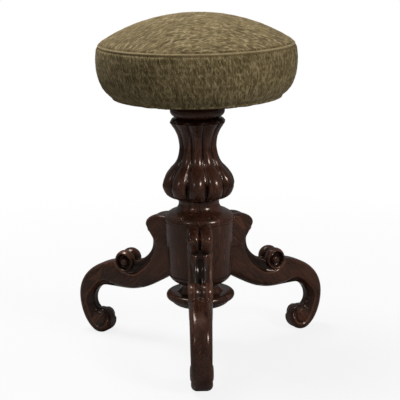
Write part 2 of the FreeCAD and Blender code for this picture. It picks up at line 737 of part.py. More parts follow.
def drum_cope():
    """What the inner face of a leg is cut to: the drum's taper and the column's shoulder."""
    gap = size("fit_gap")
    slope = value_of(DRUM_SIDE_SLOPE)
    foot_radius = DRUM_SIDE + gap - slope * JOINT_RISE
    shoulder = max(size("shoulder_radius"), size("shoulder_top_radius")) + gap
    cone = Part.makeCone(foot_radius, DRUM_SIDE + gap, JOINT_RISE)
    return cone.fuse(Part.makeCylinder(shoulder, TOP_RISE, Vector(0, 0, JOINT_RISE)))


JOINING_TOLERANCE = 0.005


def carved_leg():
    """The leg that points along -Y."""
    half_foot = half_thickness(FOOT[0])
    relief = size("carving_relief")
    body = rounded_sides(tapered(leg_body(), 0), size("leg_edge_round"))
    foot_roll = disc_across(FOOT, size("foot_radius"), half_foot, size("leg_edge_round"))
    eye = disc_across(EYE, size("eye_radius"), half_foot + relief, relief)
    leg = body.fuse(bulb_pair() + [middle_scroll(), foot_roll, eye], JOINING_TOLERANCE)
    wide = 2 * OUTERMOST[0]
    floor = Part.makeBox(wide, wide, wide, Vector(-wide / 2, -wide, -wide))
    return leg.cut([drum_cope(), dowel_holes, floor], JOINING_TOLERANCE)


leg_shape = carved_leg()
dowels = [dowel_cylinder("dowel_%d" % number, lift) for number, lift in enumerate(DOWEL_LIFTS)]
for number, name in enumerate(LEG_NAMES):
    leg_turn = Placement(Vector(), Rotation(Vector(0, 0, 1), leg_angle(number)))
    leg = finished(name + "_leg")
    leg.Shape = leg_shape
    leg.Placement = leg_turn
    leg_dowels = finished(name + "_leg_dowels", "Part::Compound")
    leg_dowels.Links = dowels
    leg_dowels.Placement = leg_turn

# Collar: a turned ring round the screw, between the column and the seat

COLLAR_FOOT = "drum_base+drum_height+column_height+turning_gap"
PLATE_FOOT = COLLAR_FOOT + "+collar_height+turning_gap"
BOARD_FOOT = PLATE_FOOT + "+plate_height"

collar_body = new_body("seat_collar")
turn(collar_body, "collar_turning", [
    ("screw_radius+2*turning_gap", "0", 0),
    ("collar_foot_radius", "0", 0.2),
    ("collar_disc_radius", "collar_disc_height*0.45", 0.2),
    ("(collar_disc_radius+collar_neck_radius)/2", "collar_disc_height", 0),
    ("collar_neck_radius", "collar_disc_height+collar_neck_step", 0),
    ("collar_neck_radius", "collar_height", 0),
    ("screw_radius+2*turning_gap", "collar_height", 0),
])
lift(collar_body, COLLAR_FOOT)

# Screw and plate: the iron screw is riveted into a round iron plate, which is screwed up into
# the seat board

screw_body = new_body("seat_screw")
turn(screw_body, "screw_turning", [
    ("0", "-screw_length", 0),
    ("screw_radius-screw_tip_chamfer", "-screw_length", 0),
    ("screw_radius", "-screw_length+screw_tip_chamfer", 0),
    ("screw_radius", "0", 0),
    ("screw_rivet_radius", "0", 0),
    ("screw_rivet_radius", "plate_height", 0),
    ("0", "plate_height", 0),
])
lift(screw_body, PLATE_FOOT)

plate_body = new_body("screw_plate")
turn(plate_body, "plate_turning", [
    ("screw_rivet_radius+running_gap", "0", 0),
    ("plate_radius", "0", 0),
    ("plate_radius", "plate_height", 0),
    ("screw_rivet_radius+running_gap", "plate_height", 0),
])
plate_hole = off_axis_turn(
    plate_body, "plate_screw_hole", "plate_screw_circle",
    wood_screw_corners("0", "+pilot_gap", False), "PartDesign::Groove",
)
ring_of(plate_body, plate_hole, "plate_screw_count")
lift(plate_body, PLATE_FOOT)

plate_screws = new_body("plate_screws")
plate_screw = off_axis_turn(
    plate_screws, "plate_screw", "plate_screw_circle",
    wood_screw_corners("0", "", False), "PartDesign::Revolution",
)
ring_of(plate_screws, plate_screw, "plate_screw_count")
lift(plate_screws, PLATE_FOOT)

# Seat board: a round pine board with holes for the plate's screws and for the tacks

HEM_TOP = "-layer_gap"
BOTTOMING_TOP = HEM_TOP + "-cover_thickness-flat_gap"
TACK_HEAD_TOP = BOTTOMING_TOP + "-bottoming_thickness-flat_gap"


def tack_hole_corners(top, bottom):
    return [
        ("0", bottom, 0),
        ("tack_radius+pilot_gap", bottom, 0),
        ("tack_radius+pilot_gap", top, 0),
        ("0", top, 0),
    ]


board_body = new_body("seat_board")
turn(board_body, "board_turning", [
    ("0", "0", 0),
    ("board_radius-board_edge_round", "0", 0.207),
    ("board_radius", "board_edge_round", 0),
    ("board_radius", "board_height-board_edge_round", 0.207),
    ("board_radius-board_edge_round", "board_height", 0),
    ("0", "board_height", 0),
])
board_hole = off_axis_turn(
    board_body, "board_screw_hole", "plate_screw_circle", [
        ("0", "-flat_gap", 0),
        ("wood_screw_radius+pilot_gap", "-flat_gap", 0),
        ("wood_screw_radius+pilot_gap", "wood_screw_length-plate_height+pilot_gap", 0),
        ("0", "wood_screw_length-plate_height+pilot_gap", 0),
    ], "PartDesign::Groove",
)
ring_of(board_body, board_hole, "plate_screw_count")
tack_hole = off_axis_turn(
    board_body, "board_tack_hole", "tack_circle",
    tack_hole_corners(TACK_HEAD_TOP + "+tack_length+flat_gap", "-flat_gap"), "PartDesign::Groove",
)
ring_of(board_body, tack_hole, "tack_count")
lift(board_body, BOARD_FOOT)

# Bottoming: black cloth over the underside, cut out round the iron plate

bottoming_body = new_body("bottoming")
turn(bottoming_body, "bottoming_cloth", [
    ("plate_radius+bottoming_plate_gap", BOTTOMING_TOP + "-bottoming_thickness", 0),
    ("bottoming_radius", BOTTOMING_TOP + "-bottoming_thickness", 0),
    ("bottoming_radius", BOTTOMING_TOP, 0),
    ("plate_radius+bottoming_plate_gap", BOTTOMING_TOP, 0),
])
bottoming_hole = off_axis_turn(
    bottoming_body, "bottoming_tack_hole", "tack_circle",
    tack_hole_corners("0", BOTTOMING_TOP + "-2*bottoming_thickness"), "PartDesign::Groove",
)
ring_of(bottoming_body, bottoming_hole, "tack_count")
lift(bottoming_body, BOARD_FOOT)

# Tacks: a ring of them holds the cloth and the bottoming to the underside of the board

tacks_body = new_body("cover_tacks")
tack = off_axis_turn(tacks_body, "tack", "tack_circle", [
    ("0", TACK_HEAD_TOP + "-tack_head_height", 0),
    ("tack_head_radius*0.55", TACK_HEAD_TOP + "-tack_head_height", 0),
    ("tack_head_radius", TACK_HEAD_TOP, 0),
    ("tack_radius", TACK_HEAD_TOP, 0),
    ("tack_radius", TACK_HEAD_TOP + "+tack_length", 0),
    ("0", TACK_HEAD_TOP + "+tack_length", 0),
], "PartDesign::Revolution")
ring_of(tacks_body, tack, "tack_count")
lift(tacks_body, BOARD_FOOT)

# Cushion: hair stuffing, a layer of wadding, and a chenille cover of a domed top panel sewn to a
# band that swells, draws in and is turned under the board


def dome(inset):
    """The ball whose cap is the top of the cushion, smaller by inset."""
    seam_radius = size("seat_seam_radius")
    drop = size("seat_crown_rise") - size("seat_seam_rise")
    radius = (seam_radius**2 + drop**2) / (2 * drop)
    return Part.makeSphere(radius - inset, Vector(0, 0, size("seat_crown_rise") - radius))


def band_form(inset):
    """The space inside the band, smaller by inset: a quarter of an ellipse from the tuck under
    the board up to the widest place, an arc from there to the seam, and straight up past it."""
    rise, widest, tuck = size("seat_bulge_rise"), size("seat_bulge_radius"), size("seat_tuck_radius")
    over, in_by = size("seat_seam_rise") - rise, widest - size("seat_seam_radius")
    arc_radius = (in_by**2 + over**2) / (2 * in_by)
    seam_angle = math.asin(over / arc_radius)
    floor = value_of(HEM_TOP) - size("cover_thickness") + inset

    def on_arc(angle):
        reach = arc_radius - inset
        return Vector(widest - arc_radius + reach * math.cos(angle), 0, rise + reach * math.sin(angle))

    foot, tip, seam = Vector(tuck, 0, floor), on_arc(0), on_arc(seam_angle)
    quarter = Part.BezierCurve()
    quarter.setPoles([foot, Vector(tip.x, 0, floor), tip])
    quarter.setWeight(2, math.sqrt(0.5))
    above = 2 * size("seat_crown_rise")
    side = Part.Wire([
        quarter.toShape(),
        Part.Arc(tip, on_arc(seam_angle / 2), seam).toShape(),
        Part.makeLine(seam, Vector(seam.x, 0, above)),
        Part.makeLine(Vector(seam.x, 0, above), Vector(0, 0, above)),
        Part.makeLine(Vector(0, 0, above), Vector(0, 0, floor)),
        Part.makeLine(Vector(0, 0, floor), foot),
    ])
    return Part.Face(side).revolve(Vector(), Vector(0, 0, 1), 360)


def round_space(radius, top):
    """The round space under a height, down past all that is under the board."""
    depth = size("seat_crown_rise")
    return Part.makeCylinder(radius, depth + top, Vector(0, 0, -depth))


def layer(name, shape):
    piece = finished(name)
    piece.Shape = shape
    piece.Placement = Placement(Vector(0, 0, value_of(BOARD_FOOT)), Rotation())


cloth, gap = size("cover_thickness"), size("layer_gap")
under_cloth = cloth + gap
under_wadding = under_cloth + size("wadding_thickness")
board_space = round_space(size("board_radius") + gap, size("board_height") + gap)
hem_opening = round_space(size("cover_hem_radius"), size("board_height"))
tack_space = round_space(size("tack_radius") + size("pilot_gap"), size("board_height"))
tack_space.translate(Vector(size("tack_circle"), 0, 0))
tack_spaces = Part.makeCompound([
    swung(tack_space, 360 * number / size("tack_count")) for number in range(int(size("tack_count")))
])
band_cuts = [band_form(cloth), hem_opening, tack_spaces]
wadding_cuts = [band_form(under_wadding).common(dome(under_wadding)), board_space]
hair_inset = under_wadding + gap
layer("cover_top", band_form(0).common(dome(0)).cut(dome(cloth)))
layer("cover_band", band_form(0).common(dome(under_cloth)).cut(band_cuts))
layer("wadding", band_form(under_cloth).common(dome(under_cloth)).cut(wadding_cuts))
layer("hair_stuffing", band_form(hair_inset).common(dome(hair_inset)).cut(board_space))

# Checks and files

PIECES = [
    "cover_top", "cover_band", "wadding", "hair_stuffing", "seat_board", "bottoming", "cover_tacks",
    "screw_plate", "plate_screws", "seat_screw", "seat_collar", "column", "column_nut", "nut_screws",
    "drum", "pendant", "front_leg", "right_leg", "left_leg",
    "front_leg_dowels", "right_leg_dowels", "left_leg_dowels",
]

doc.recompute()
for thing in doc.Objects:
    if "Invalid" in thing.State or "Error" in thing.State:
        raise RuntimeError("%s did not build: %s" % (thing.Label, thing.State))
os.makedirs("parts", exist_ok=True)
for label in PIECES:
    shape = doc.getObjectsByLabel(label)[0].Shape
    if shape.isNull() or not shape.isValid() or not shape.Solids:
        raise RuntimeError("%s has no sound solid" % label)
    print("%-18s %3d solids %12.0f mm3" % (label, len(shape.Solids), shape.Volume))
    shape.exportStep("parts/%s.step" % label)
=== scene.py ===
import math

import bpy
import numpy as np
from mathutils import Matrix, Vector, noise


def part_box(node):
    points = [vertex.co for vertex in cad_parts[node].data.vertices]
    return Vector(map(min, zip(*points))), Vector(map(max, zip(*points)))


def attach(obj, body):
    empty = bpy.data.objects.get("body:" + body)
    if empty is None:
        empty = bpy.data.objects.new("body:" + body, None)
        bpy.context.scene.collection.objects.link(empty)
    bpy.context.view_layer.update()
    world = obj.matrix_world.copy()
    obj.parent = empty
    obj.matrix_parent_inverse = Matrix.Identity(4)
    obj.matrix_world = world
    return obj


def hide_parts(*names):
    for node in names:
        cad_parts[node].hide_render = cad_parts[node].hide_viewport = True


# A revolving piano stool: a stuffed seat on an iron screw, a turned and lobed column, a drum with
# three carved scroll legs, and a turned pendant. Metres, +Z up, the front leg points along -Y.

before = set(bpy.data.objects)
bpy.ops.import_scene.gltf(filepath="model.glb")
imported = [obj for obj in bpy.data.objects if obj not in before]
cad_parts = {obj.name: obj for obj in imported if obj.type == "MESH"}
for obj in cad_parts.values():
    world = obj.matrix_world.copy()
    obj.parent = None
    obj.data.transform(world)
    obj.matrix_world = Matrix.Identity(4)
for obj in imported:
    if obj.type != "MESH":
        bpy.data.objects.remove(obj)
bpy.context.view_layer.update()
bpy.ops.object.select_all(action="DESELECT")

# Drum, pendant, collar
# Three turnings of dark rosewood, made on the lathe and French polished. The drum is bored for
# the column's tenon, the pendant is glued up into it, and the collar sits under the seat.

ROSEWOOD_DARK = (0.020, 0.0075, 0.0050, 1)
ROSEWOOD_BROWN = (0.066, 0.025, 0.015, 1)
ROSEWOOD_RED = (0.135, 0.048, 0.026, 1)
# Painted shade, near black, for the hollows of the carving; and the colour of rubbed edges
HOLLOW_SHADE_DARK, WORN_EDGE = (0.0025, 0.0012, 0.0009, 1), (0.22, 0.105, 0.065, 1)


def add_node(material, kind, inputs=None, **settings):
    """Adds a shader node. An input's value is a number, a colour or another node's output."""
    tree = material.node_tree
    made = tree.nodes.new("ShaderNode" + kind)
    for name, value in settings.items():
        setattr(made, name, value)
    for name, value in (inputs or {}).items():
        if isinstance(value, bpy.types.NodeSocket):
            tree.links.new(value, made.inputs[name])
        else:
            made.inputs[name].default_value = value
    return made


def new_material(name):
    """An empty material with its surface shader, which is linked to the output."""
    material = bpy.data.materials.new(name)
    material.use_nodes = True
    return material, material.node_tree.nodes["Principled BSDF"]


def set_inputs(material, node, inputs):
    for name, value in inputs.items():
        if isinstance(value, bpy.types.NodeSocket):
            material.node_tree.links.new(value, node.inputs[name])
        else:
            node.inputs[name].default_value = value


def ramp(material, factor, stops):
    """A colour ramp from (position, colour) stops."""
    made = add_node(material, "ValToRGB", {"Fac": factor})
    elements = made.color_ramp.elements
    while len(elements) < len(stops):
        elements.new(0.5)
    for element, (position, colour) in zip(elements, stops):
        element.position, element.color = position, colour
    return made.outputs["Color"]


def blend(material, factor, first, second, mode="MIX"):
    """Mixes two colours. On a mix node the colour sockets are the seventh and eighth."""
    made = add_node(material, "Mix", {0: factor, 6: first, 7: second}, data_type="RGBA", blend_type=mode)
    return made.outputs[2]


def pattern_space(material, turn, grain):
    """Object coordinates, turned and then measured in the sizes of the pattern's grain."""
    place = add_node(material, "TexCoord").outputs["Object"]
    made = add_node(material, "Mapping", {"Vector": place, "Rotation": turn, "Scale": grain},
                    vector_type="TEXTURE")
    return made.outputs["Vector"]


def cloud(material, space, scale=1.0, detail=3.0, roughness=0.5, distortion=0.0):
    made = add_node(material, "TexNoise", {
        "Vector": space, "Scale": scale, "Detail": detail, "Roughness": roughness,
        "Distortion": distortion,
    })
    return made.outputs["Fac"]


def polished_rosewood(name, grain_turn):
    """Dark figured wood, its grain upright before it is turned, under a worn coat of polish. One
    attribute paints shade near to black into the carving's hollows, and the attribute worn is 1 on its
    rubbed edges."""
    material, shader = new_material(name)
    figure = cloud(material, pattern_space(material, grain_turn, (0.013, 0.013, 0.09)), 1.0, 5, 0.6, 1.4)
    fibres = cloud(material, pattern_space(material, grain_turn, (0.0011, 0.0011, 0.02)), 1.0, 4, 0.65)
    patches = cloud(material, pattern_space(material, grain_turn, (0.05, 0.05, 0.08)), 1.0, 2)
    figured = ramp(material, figure, [
        (0.30, ROSEWOOD_DARK), (0.47, ROSEWOOD_BROWN), (0.56, ROSEWOOD_DARK), (0.63, ROSEWOOD_RED),
        (0.80, ROSEWOOD_BROWN),
    ])
    worn = blend(material, ramp(material, patches, [(0.45, (0, 0, 0, 1)), (0.7, (0.55, 0.55, 0.55, 1))]),
                 figured, ROSEWOOD_RED)
    fibred = blend(material, 0.75, worn, ramp(material, fibres, [
        (0.32, (0.35, 0.32, 0.3, 1)), (0.55, (1, 1, 1, 1)), (0.8, (1.35, 1.25, 1.2, 1)),
    ]), "MULTIPLY")
    # Painted shade: this attribute darkens the hollows toward near black
    hollow_shade = add_node(material, "Attribute", attribute_name="hollow_shade").outputs["Fac"]
    worn_edge = add_node(material, "Attribute", attribute_name="worn").outputs["Fac"]
    colour = blend(material, worn_edge, blend(material, hollow_shade, fibred, HOLLOW_SHADE_DARK), WORN_EDGE)
    smears = cloud(material, pattern_space(material, grain_turn, (0.02, 0.02, 0.03)), 1.0, 4, 0.6)
    rough = add_node(material, "MapRange", {
        "Value": smears, "From Min": 0.3, "From Max": 0.75, "To Min": 0.16, "To Max": 0.34,
    }).outputs["Result"]
    pores = add_node(material, "Bump", {
        "Height": fibres, "Strength": 0.10, "Distance": 0.0003,
    }).outputs["Normal"]
    set_inputs(material, shader, {
        "Base Color": colour, "Roughness": rough, "Normal": pores, "IOR": 1.5, "Coat Weight": 0.28,
        "Coat Roughness": 0.06, "Specular Tint": (1.0, 0.74, 0.60, 1), "Specular IOR Level": 0.42,
    })
    return material


def dress(piece, material):
    """Gives a piece one material."""
    piece.data.materials.clear()
    piece.data.materials.append(material)


turned_rosewood = polished_rosewood("turned_rosewood", (0.05, 0.03, 0.0))
for name in ("drum", "pendant", "seat_collar"):
    dress(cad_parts[name], turned_rosewood)

# Column
# One turning of rosewood. Its vase is carved with ten rounded lobes, each drawn in under the rim
# and full at the belly, with a dart between them, and it is bored for the screw and its nut.

LOBES = 10
LOBE_ANGLE = math.radians(14.7)
TURNING_STEPS = LOBES * 32
column_low, column_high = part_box("column")
TENON_FOOT, COLUMN_TOP = column_low.z, column_high.z
VASE_FOOT, VASE_RIM = COLUMN_TOP - 0.125, COLUMN_TOP - 0.008
# Radius over the lobes and height, from the foot of the vase up to its rim
VASE_LINE = [
    (0.0350, 0.2400), (0.0420, 0.2418), (0.0505, 0.2480), (0.0556, 0.2585), (0.0553, 0.2655),
    (0.0520, 0.2745), (0.0447, 0.2845), (0.0368, 0.2930), (0.0318, 0.3030), (0.0291, 0.3150),
    (0.0290, 0.3240), (0.0312, 0.3360), (0.0352, 0.3455), (0.0390, 0.3515), (0.0427, 0.3570),
]


def smooth_line(points, steps):
    """A smooth line through chosen points, with so many steps between each two."""
    points = [np.array(point, float) for point in points]
    held = [2 * points[0] - points[1], *points, 2 * points[-1] - points[-2]]
    line = []
    for before, start, end, after in zip(held, held[1:], held[2:], held[3:]):
        for step in range(steps):
            t = step / steps
            line.append(tuple(0.5 * (
                2 * start + (end - before) * t + (2 * before - 5 * start + 4 * end - after) * t**2
                + (3 * start - before - 3 * end + after) * t**3
            )))
    return line + [tuple(held[-2])]


def lathe(name, section, steps):
    """Turns a section, a list of (radius, height), round the column's axis into a solid."""
    bpy.ops.object.select_all(action="DESELECT")
    bpy.ops.mesh.primitive_plane_add(size=0.01, location=(0, 0, 0))
    piece = bpy.context.object
    piece.name = piece.data.name = name
    bpy.ops.object.mode_set(mode="EDIT")
    bpy.ops.mesh.merge(type="CENTER")
    at = Vector((0, 0, 0))
    for radius, height in section:
        step = Vector((radius, 0, height)) - at
        if at.length or radius == height == 0:
            bpy.ops.mesh.extrude_region_move(TRANSFORM_OT_translate={"value": step})
        else:
            bpy.ops.transform.translate(value=step)
        at = Vector((radius, 0, height))
    bpy.ops.mesh.select_all(action="SELECT")
    bpy.ops.mesh.spin(steps=steps, angle=2 * math.pi, center=(0, 0, 0), axis=(0, 0, 1))
    bpy.ops.mesh.select_all(action="SELECT")
    bpy.ops.mesh.remove_doubles(threshold=0.00001)
    bpy.ops.mesh.normals_make_consistent(inside=False)
    bpy.ops.mesh.faces_shade_smooth()
    bpy.ops.object.mode_set(mode="OBJECT")
    return piece


def arc(start, end, bulge, steps=8):
    """The points after start on an arc to end that stands off its chord by bulge, a share of it."""
    start, end = np.array(start, float), np.array(end, float)
    chord = end - start
    side = np.array([chord[1], -chord[0]])
    half = 2 * math.atan(2 * abs(bulge))
    radius = 0.5 / math.sin(half)
    line = []
    for step in range(1, steps + 1):
        angle = half * (2 * step / steps - 1)
        along = 0.5 + radius * math.sin(angle)
        out = radius * (math.cos(angle) - math.cos(half)) * math.copysign(1, bulge)
        line.append(tuple(start + chord * along + side * out))
    return line


def places(piece):
    """The piece's points as an array."""
    held = np.empty(len(piece.data.vertices) * 3)
    piece.data.vertices.foreach_get("co", held)
    return held.reshape(-1, 3)


def set_places(piece, held):
    piece.data.vertices.foreach_set("co", held.ravel())
    piece.data.update()


def set_attribute(piece, name, values):
    made = piece.data.attributes.new(name, "FLOAT", "POINT")
    made.data.foreach_set("value", values.astype(np.float32))


def ease(value, low, high):
    """0 below low, 1 above high, and smooth between them."""
    share = np.clip((value - low) / (high - low), 0, 1)
    return share * share * (3 - 2 * share)


def height_over_joint(millimetres):
    return JOINT + millimetres / 1000


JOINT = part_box("drum")[1].z
TENON_RADIUS = 0.0219
NUT_SLEEVE, NUT_FLANGE, BORE = 0.0171, 0.0271, 0.013
NUT_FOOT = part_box("column_nut")[0].z - 0.0001
FLANGE_FOOT = COLUMN_TOP - 0.0041
BORE_FOOT = COLUMN_TOP - 0.190

shoulder_edge, shoulder_top = (0.0534, height_over_joint(3.0)), (0.0486, height_over_joint(11.6))
neck_foot, neck_top = (0.0388, height_over_joint(16.4)), (0.0312, height_over_joint(31.5))
section = [(0, TENON_FOOT), (TENON_RADIUS, TENON_FOOT), (TENON_RADIUS, height_over_joint(0.1))]
section += [(0.0526, height_over_joint(0.1))]
section += arc(section[-1], shoulder_edge, 0.12, 4)
section += arc(shoulder_edge, shoulder_top, 0.14)
section += arc(shoulder_top, (0.0470, height_over_joint(12.6)), -0.1, 3)
section += arc(section[-1], neck_foot, 0.05, 5)
section += arc(neck_foot, neck_top, -0.19, 12)
section += arc(neck_top, (0.0325, VASE_FOOT - 0.0003), -0.1, 4)
section += smooth_line(VASE_LINE, 7)
section += arc((0.0427, VASE_RIM), (0.0418, VASE_RIM + 0.0012), 0.2, 4)
section += arc(section[-1], (0.0335, COLUMN_TOP - 0.0018), 0.16, 10)
section += [(0.0330, COLUMN_TOP - 0.0018), (0.0330, COLUMN_TOP)]
section += [(NUT_FLANGE, COLUMN_TOP), (NUT_FLANGE, FLANGE_FOOT), (NUT_SLEEVE, FLANGE_FOOT)]
section += [(NUT_SLEEVE, NUT_FOOT), (BORE, NUT_FOOT), (BORE, BORE_FOOT), (0, BORE_FOOT)]
column = lathe("lobed_column", section, TURNING_STEPS)

LOBE_DEPTH, GROOVE_ROUNDNESS, DART_HEIGHT = 0.24, 0.96, 0.055
BELLY_LOW, BELLY_HIGH, WAIST_LOW, WAIST_HIGH = 0.262, 0.275, 0.315, 0.33
DART_LOW, DART_FULL, DART_HIGH = 0.262, 0.274, 0.305
RIM_EDGE = VASE_RIM + 0.0013
held = places(column)
radius, angle = np.hypot(held[:, 0], held[:, 1]), np.arctan2(held[:, 1], held[:, 0])
height = held[:, 2]
# From -1 to 1 across a lobe, with its crest at 0
across = ((angle - LOBE_ANGLE) * LOBES / math.pi + 1) % 2 - 1
on_vase = (height > VASE_FOOT - 0.00001) & (height < RIM_EDGE) & (radius > 0.028)
fullness = 0.62 + 0.38 * ease(height, VASE_FOOT, BELLY_LOW) * (1 - ease(height, BELLY_HIGH, WAIST_LOW))
fullness *= 1 - 0.35 * ease(height, WAIST_HIGH, VASE_RIM)
roundness = (1 - np.sqrt(1 - GROOVE_ROUNDNESS * across**2)) / (1 - math.sqrt(1 - GROOVE_ROUNDNESS))
depth = LOBE_DEPTH * fullness * roundness
dart = ease(height, DART_LOW, DART_FULL) * (1 - ease(height, DART_HIGH - 0.01, DART_HIGH))
dart_width = 0.09 + 0.09 * ease(height, DART_LOW, DART_HIGH - 0.01)
from_groove = (1 - np.abs(across)) / dart_width
dart_rise = DART_HEIGHT * dart * np.clip(1 - from_groove**2, 0, 1)
dart_edge = 0.02 * dart * np.exp(-((from_groove - 1.15) / 0.4) ** 2)
carved = np.where(on_vase, 1 - depth + dart_rise - dart_edge, 1)
# The rounded top runs out of the lobes into a plain ring
over_rim = (height >= RIM_EDGE) & (height < COLUMN_TOP - 0.0019) & (radius > 0.0332)
fade = 1 - ease(height, VASE_RIM, COLUMN_TOP - 0.0025)
carved = np.where(over_rim, 1 - LOBE_DEPTH * 0.4 * fade * roundness, carved)
held[:, 0] *= carved
held[:, 1] *= carved
set_places(column, held)
# Painted shade: the grooves between the lobes and the foot of the vase are darkened
groove = ease(np.abs(across), 0.72, 1.0) * on_vase * (1 - 0.8 * dart * (from_groove < 0.9))
vase_foot_shade = on_vase * (1 - ease(height, VASE_FOOT, VASE_FOOT + 0.004))
set_attribute(column, "hollow_shade", np.clip(0.85 * groove + 0.6 * vase_foot_shade, 0, 1))
set_attribute(column, "worn", 0.35 * dart * on_vase * (np.abs(from_groove - 1) < 0.2))
dress(column, turned_rosewood)
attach(column, "base")
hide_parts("column")

# Legs
# Three scrolls sawn from thick rosewood planks, coved, fluted and rounded with gouges, polished, and
# dowelled to the drum. Places on the front leg are (reach from the column's axis, height), in mm.

LEG_NAMES = ("front", "right", "left")
CARVING_VOXEL = 0.00078
UPPER_ARRIS = [
    (88.5, 194.0), (80.0, 182.0), (75.0, 170.0), (71.0, 152.0), (83.5, 128.0), (104.0, 110.0),
    (116.0, 106.0), (131.0, 107.3), (143.8, 115.0), (147.1, 125.7), (142.7, 138.2), (131.0, 143.0),
]
LOWER_ARRIS = [
    (100.0, 89.0), (114.9, 84.3), (140.0, 85.6), (165.9, 90.6), (182.0, 84.8), (196.4, 70.7),
    (206.9, 53.6), (201.1, 32.2), (195.2, 19.4), (184.0, 9.5), (172.0, 12.0), (166.5, 22.0),
]
INNER_SIDE = [(158, 22), (158, 60), (90, 60)]
SADDLE, NOTCH, BULB = (131.0, 125.5), (77.5, 172.5), (88.5, 191.6)
SADDLE_PULL, NOTCH_PULL = (101.0, 125.5), (77.5, 142.0)
BULB_FOOT_PULL, BULB_PULL = (84.1, 178.9), (88.5, 184.2)
SCROLL, SCROLL_RADIUS = (131.0, 126.5), 16.5
BOSS, BOSS_RADIUS, BOSS_GROOVE = (129.6, 125.0), 5.2, 6.2
EYE, EYE_RADIUS = (181.5, 24.5), 11.5
COVE_DEPTH, LOWER_COVE_DEPTH, LOWER_COVE_WIDTH, ARRIS_FALL, BAND_ROUNDING = 6.5, 5.0, 9, 0.8, 9
ROOT_THICKNESS, FOOT_THICKNESS, ROOT_REACH, LEG_LENGTH = 38, 31, 52.8, 167.7
CROWN_START, CROWN_DROP, NOTCH_HEIGHT, NOTCH_LIFT = 0.190, 0.20, 0.1685, 0.004
RIDGE_SIDE, RIDGE_WIDTH, RIDGE_HEIGHT, FLUTE_DEPTH = 8.0, 1.9, 1.0, 1.9
POCKET_RADIUS, POCKET_DEPTH = 5.0, 2.4
OUT_REACH, OUT_HEIGHT = 0.62, 0.78


def merged_copy(node, name):
    """A new piece with a CAD node's own shape, its loose triangles merged."""
    piece = bpy.data.objects.new(name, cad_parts[node].data.copy())
    bpy.context.scene.collection.objects.link(piece)
    bpy.ops.object.select_all(action="DESELECT")
    piece.select_set(True)
    bpy.context.view_layer.objects.active = piece
    bpy.ops.object.mode_set(mode="EDIT")
    bpy.ops.mesh.select_all(action="SELECT")
    bpy.ops.mesh.remove_doubles(threshold=0.000005)
    bpy.ops.object.mode_set(mode="OBJECT")
    return piece


def apply_modifier(piece, kind, **settings):
    made = piece.modifiers.new(kind.lower(), kind)
    for name, value in settings.items():
        setattr(made, name, value)
    bpy.context.view_layer.objects.active = piece
    bpy.ops.object.modifier_apply(modifier=made.name)


def soft_bend(start, start_pull, end_pull, end, steps=24):
    """The points of a bend that leaves and arrives along its two pulls."""
    pulls, line = (start, start_pull, end_pull, end), []
    for step in range(steps + 1):
        t = step / steps
        weights = ((1 - t)**3, 3 * t * (1 - t)**2, 3 * t**2 * (1 - t), t**3)
        line.append(tuple(
            sum(weight * place[axis] for weight, place in zip(weights, pulls)) for axis in (0, 1)
        ))
    return line


def distance_to(line, reach, height):
    """How far each point is from a line drawn on the side of the leg."""
    nearest = np.full(len(reach), np.inf)
    for (start_reach, start_height), (end_reach, end_height) in zip(line, line[1:]):
        run, climb = end_reach - start_reach, end_height - start_height
        share = ((reach - start_reach) * run + (height - start_height) * climb) / (run**2 + climb**2)
        share = np.clip(share, 0, 1)
        away = np.hypot(reach - start_reach - share * run, height - start_height - share * climb)
        nearest = np.minimum(nearest, away)
    return nearest


def inside(outline, reach, height):
    """Which points are inside an outline drawn on the side of the leg."""
    found = np.zeros(len(reach), bool)
    for (start_reach, start_height), (end_reach, end_height) in zip(outline, outline[1:] + outline[:1]):
        if start_height == end_height:
            continue
        crossed = (start_height > height) != (end_height > height)
        share = (height - start_height) / (end_height - start_height)
        found ^= crossed & (reach < start_reach + share * (end_reach - start_reach))
    return found


sawn = merged_copy("front_leg", "sawn_leg")
leg = merged_copy("front_leg", "carved_front_leg")
apply_modifier(leg, "REMESH", mode="VOXEL", voxel_size=CARVING_VOXEL, use_smooth_shade=True)
apply_modifier(leg, "SHRINKWRAP", target=sawn, wrap_method="NEAREST_SURFACEPOINT")
bpy.data.objects.remove(sawn)

held = places(leg)
# The bulbs are drawn in a little, down from the top and up at the notch
crown_drop = CROWN_DROP * np.clip(held[:, 2] - CROWN_START, 0, 1)
notch_lift = NOTCH_LIFT * np.exp(-((held[:, 2] - NOTCH_HEIGHT) / 0.009) ** 2)
notch_lift *= ease(-held[:, 1], 0.060, 0.074)
held[:, 2] += notch_lift - crown_drop
side, reach, height = held[:, 0] * 1000, -held[:, 1] * 1000, held[:, 2] * 1000
half = (ROOT_THICKNESS - (ROOT_THICKNESS - FOOT_THICKNESS) * (reach - ROOT_REACH) / LEG_LENGTH) / 2
upper_arris, lower_arris = smooth_line(UPPER_ARRIS, 6), smooth_line(LOWER_ARRIS, 6)
front_edge = soft_bend(SADDLE, SADDLE_PULL, NOTCH_PULL, NOTCH)
bulb_edge = soft_bend(NOTCH, BULB_FOOT_PULL, BULB_PULL, BULB)
from_upper, from_lower = distance_to(upper_arris, reach, height), distance_to(lower_arris, reach, height)
from_front = distance_to(front_edge, reach, height)
from_scroll = np.hypot(reach - SCROLL[0], height - SCROLL[1])
from_boss = np.hypot(reach - BOSS[0], height - BOSS[1])
from_eye = np.hypot(reach - EYE[0], height - EYE[1])
on_scroll = from_scroll < SCROLL_RADIUS - 0.1

# The cove between the upper arris and the front edge, falling to the front
whole_edge = front_edge + bulb_edge[1:]
upper_cove = inside(upper_arris + whole_edge, reach, height) & ~on_scroll
to_front = np.minimum(distance_to(whole_edge, reach, height), np.abs(from_scroll - SCROLL_RADIUS))
width = np.maximum(from_upper + to_front, 0.001)
upper_depth = np.minimum(COVE_DEPTH, 0.6 * width) * np.sqrt(np.clip(1 - (to_front / width) ** 4, 0, 1))
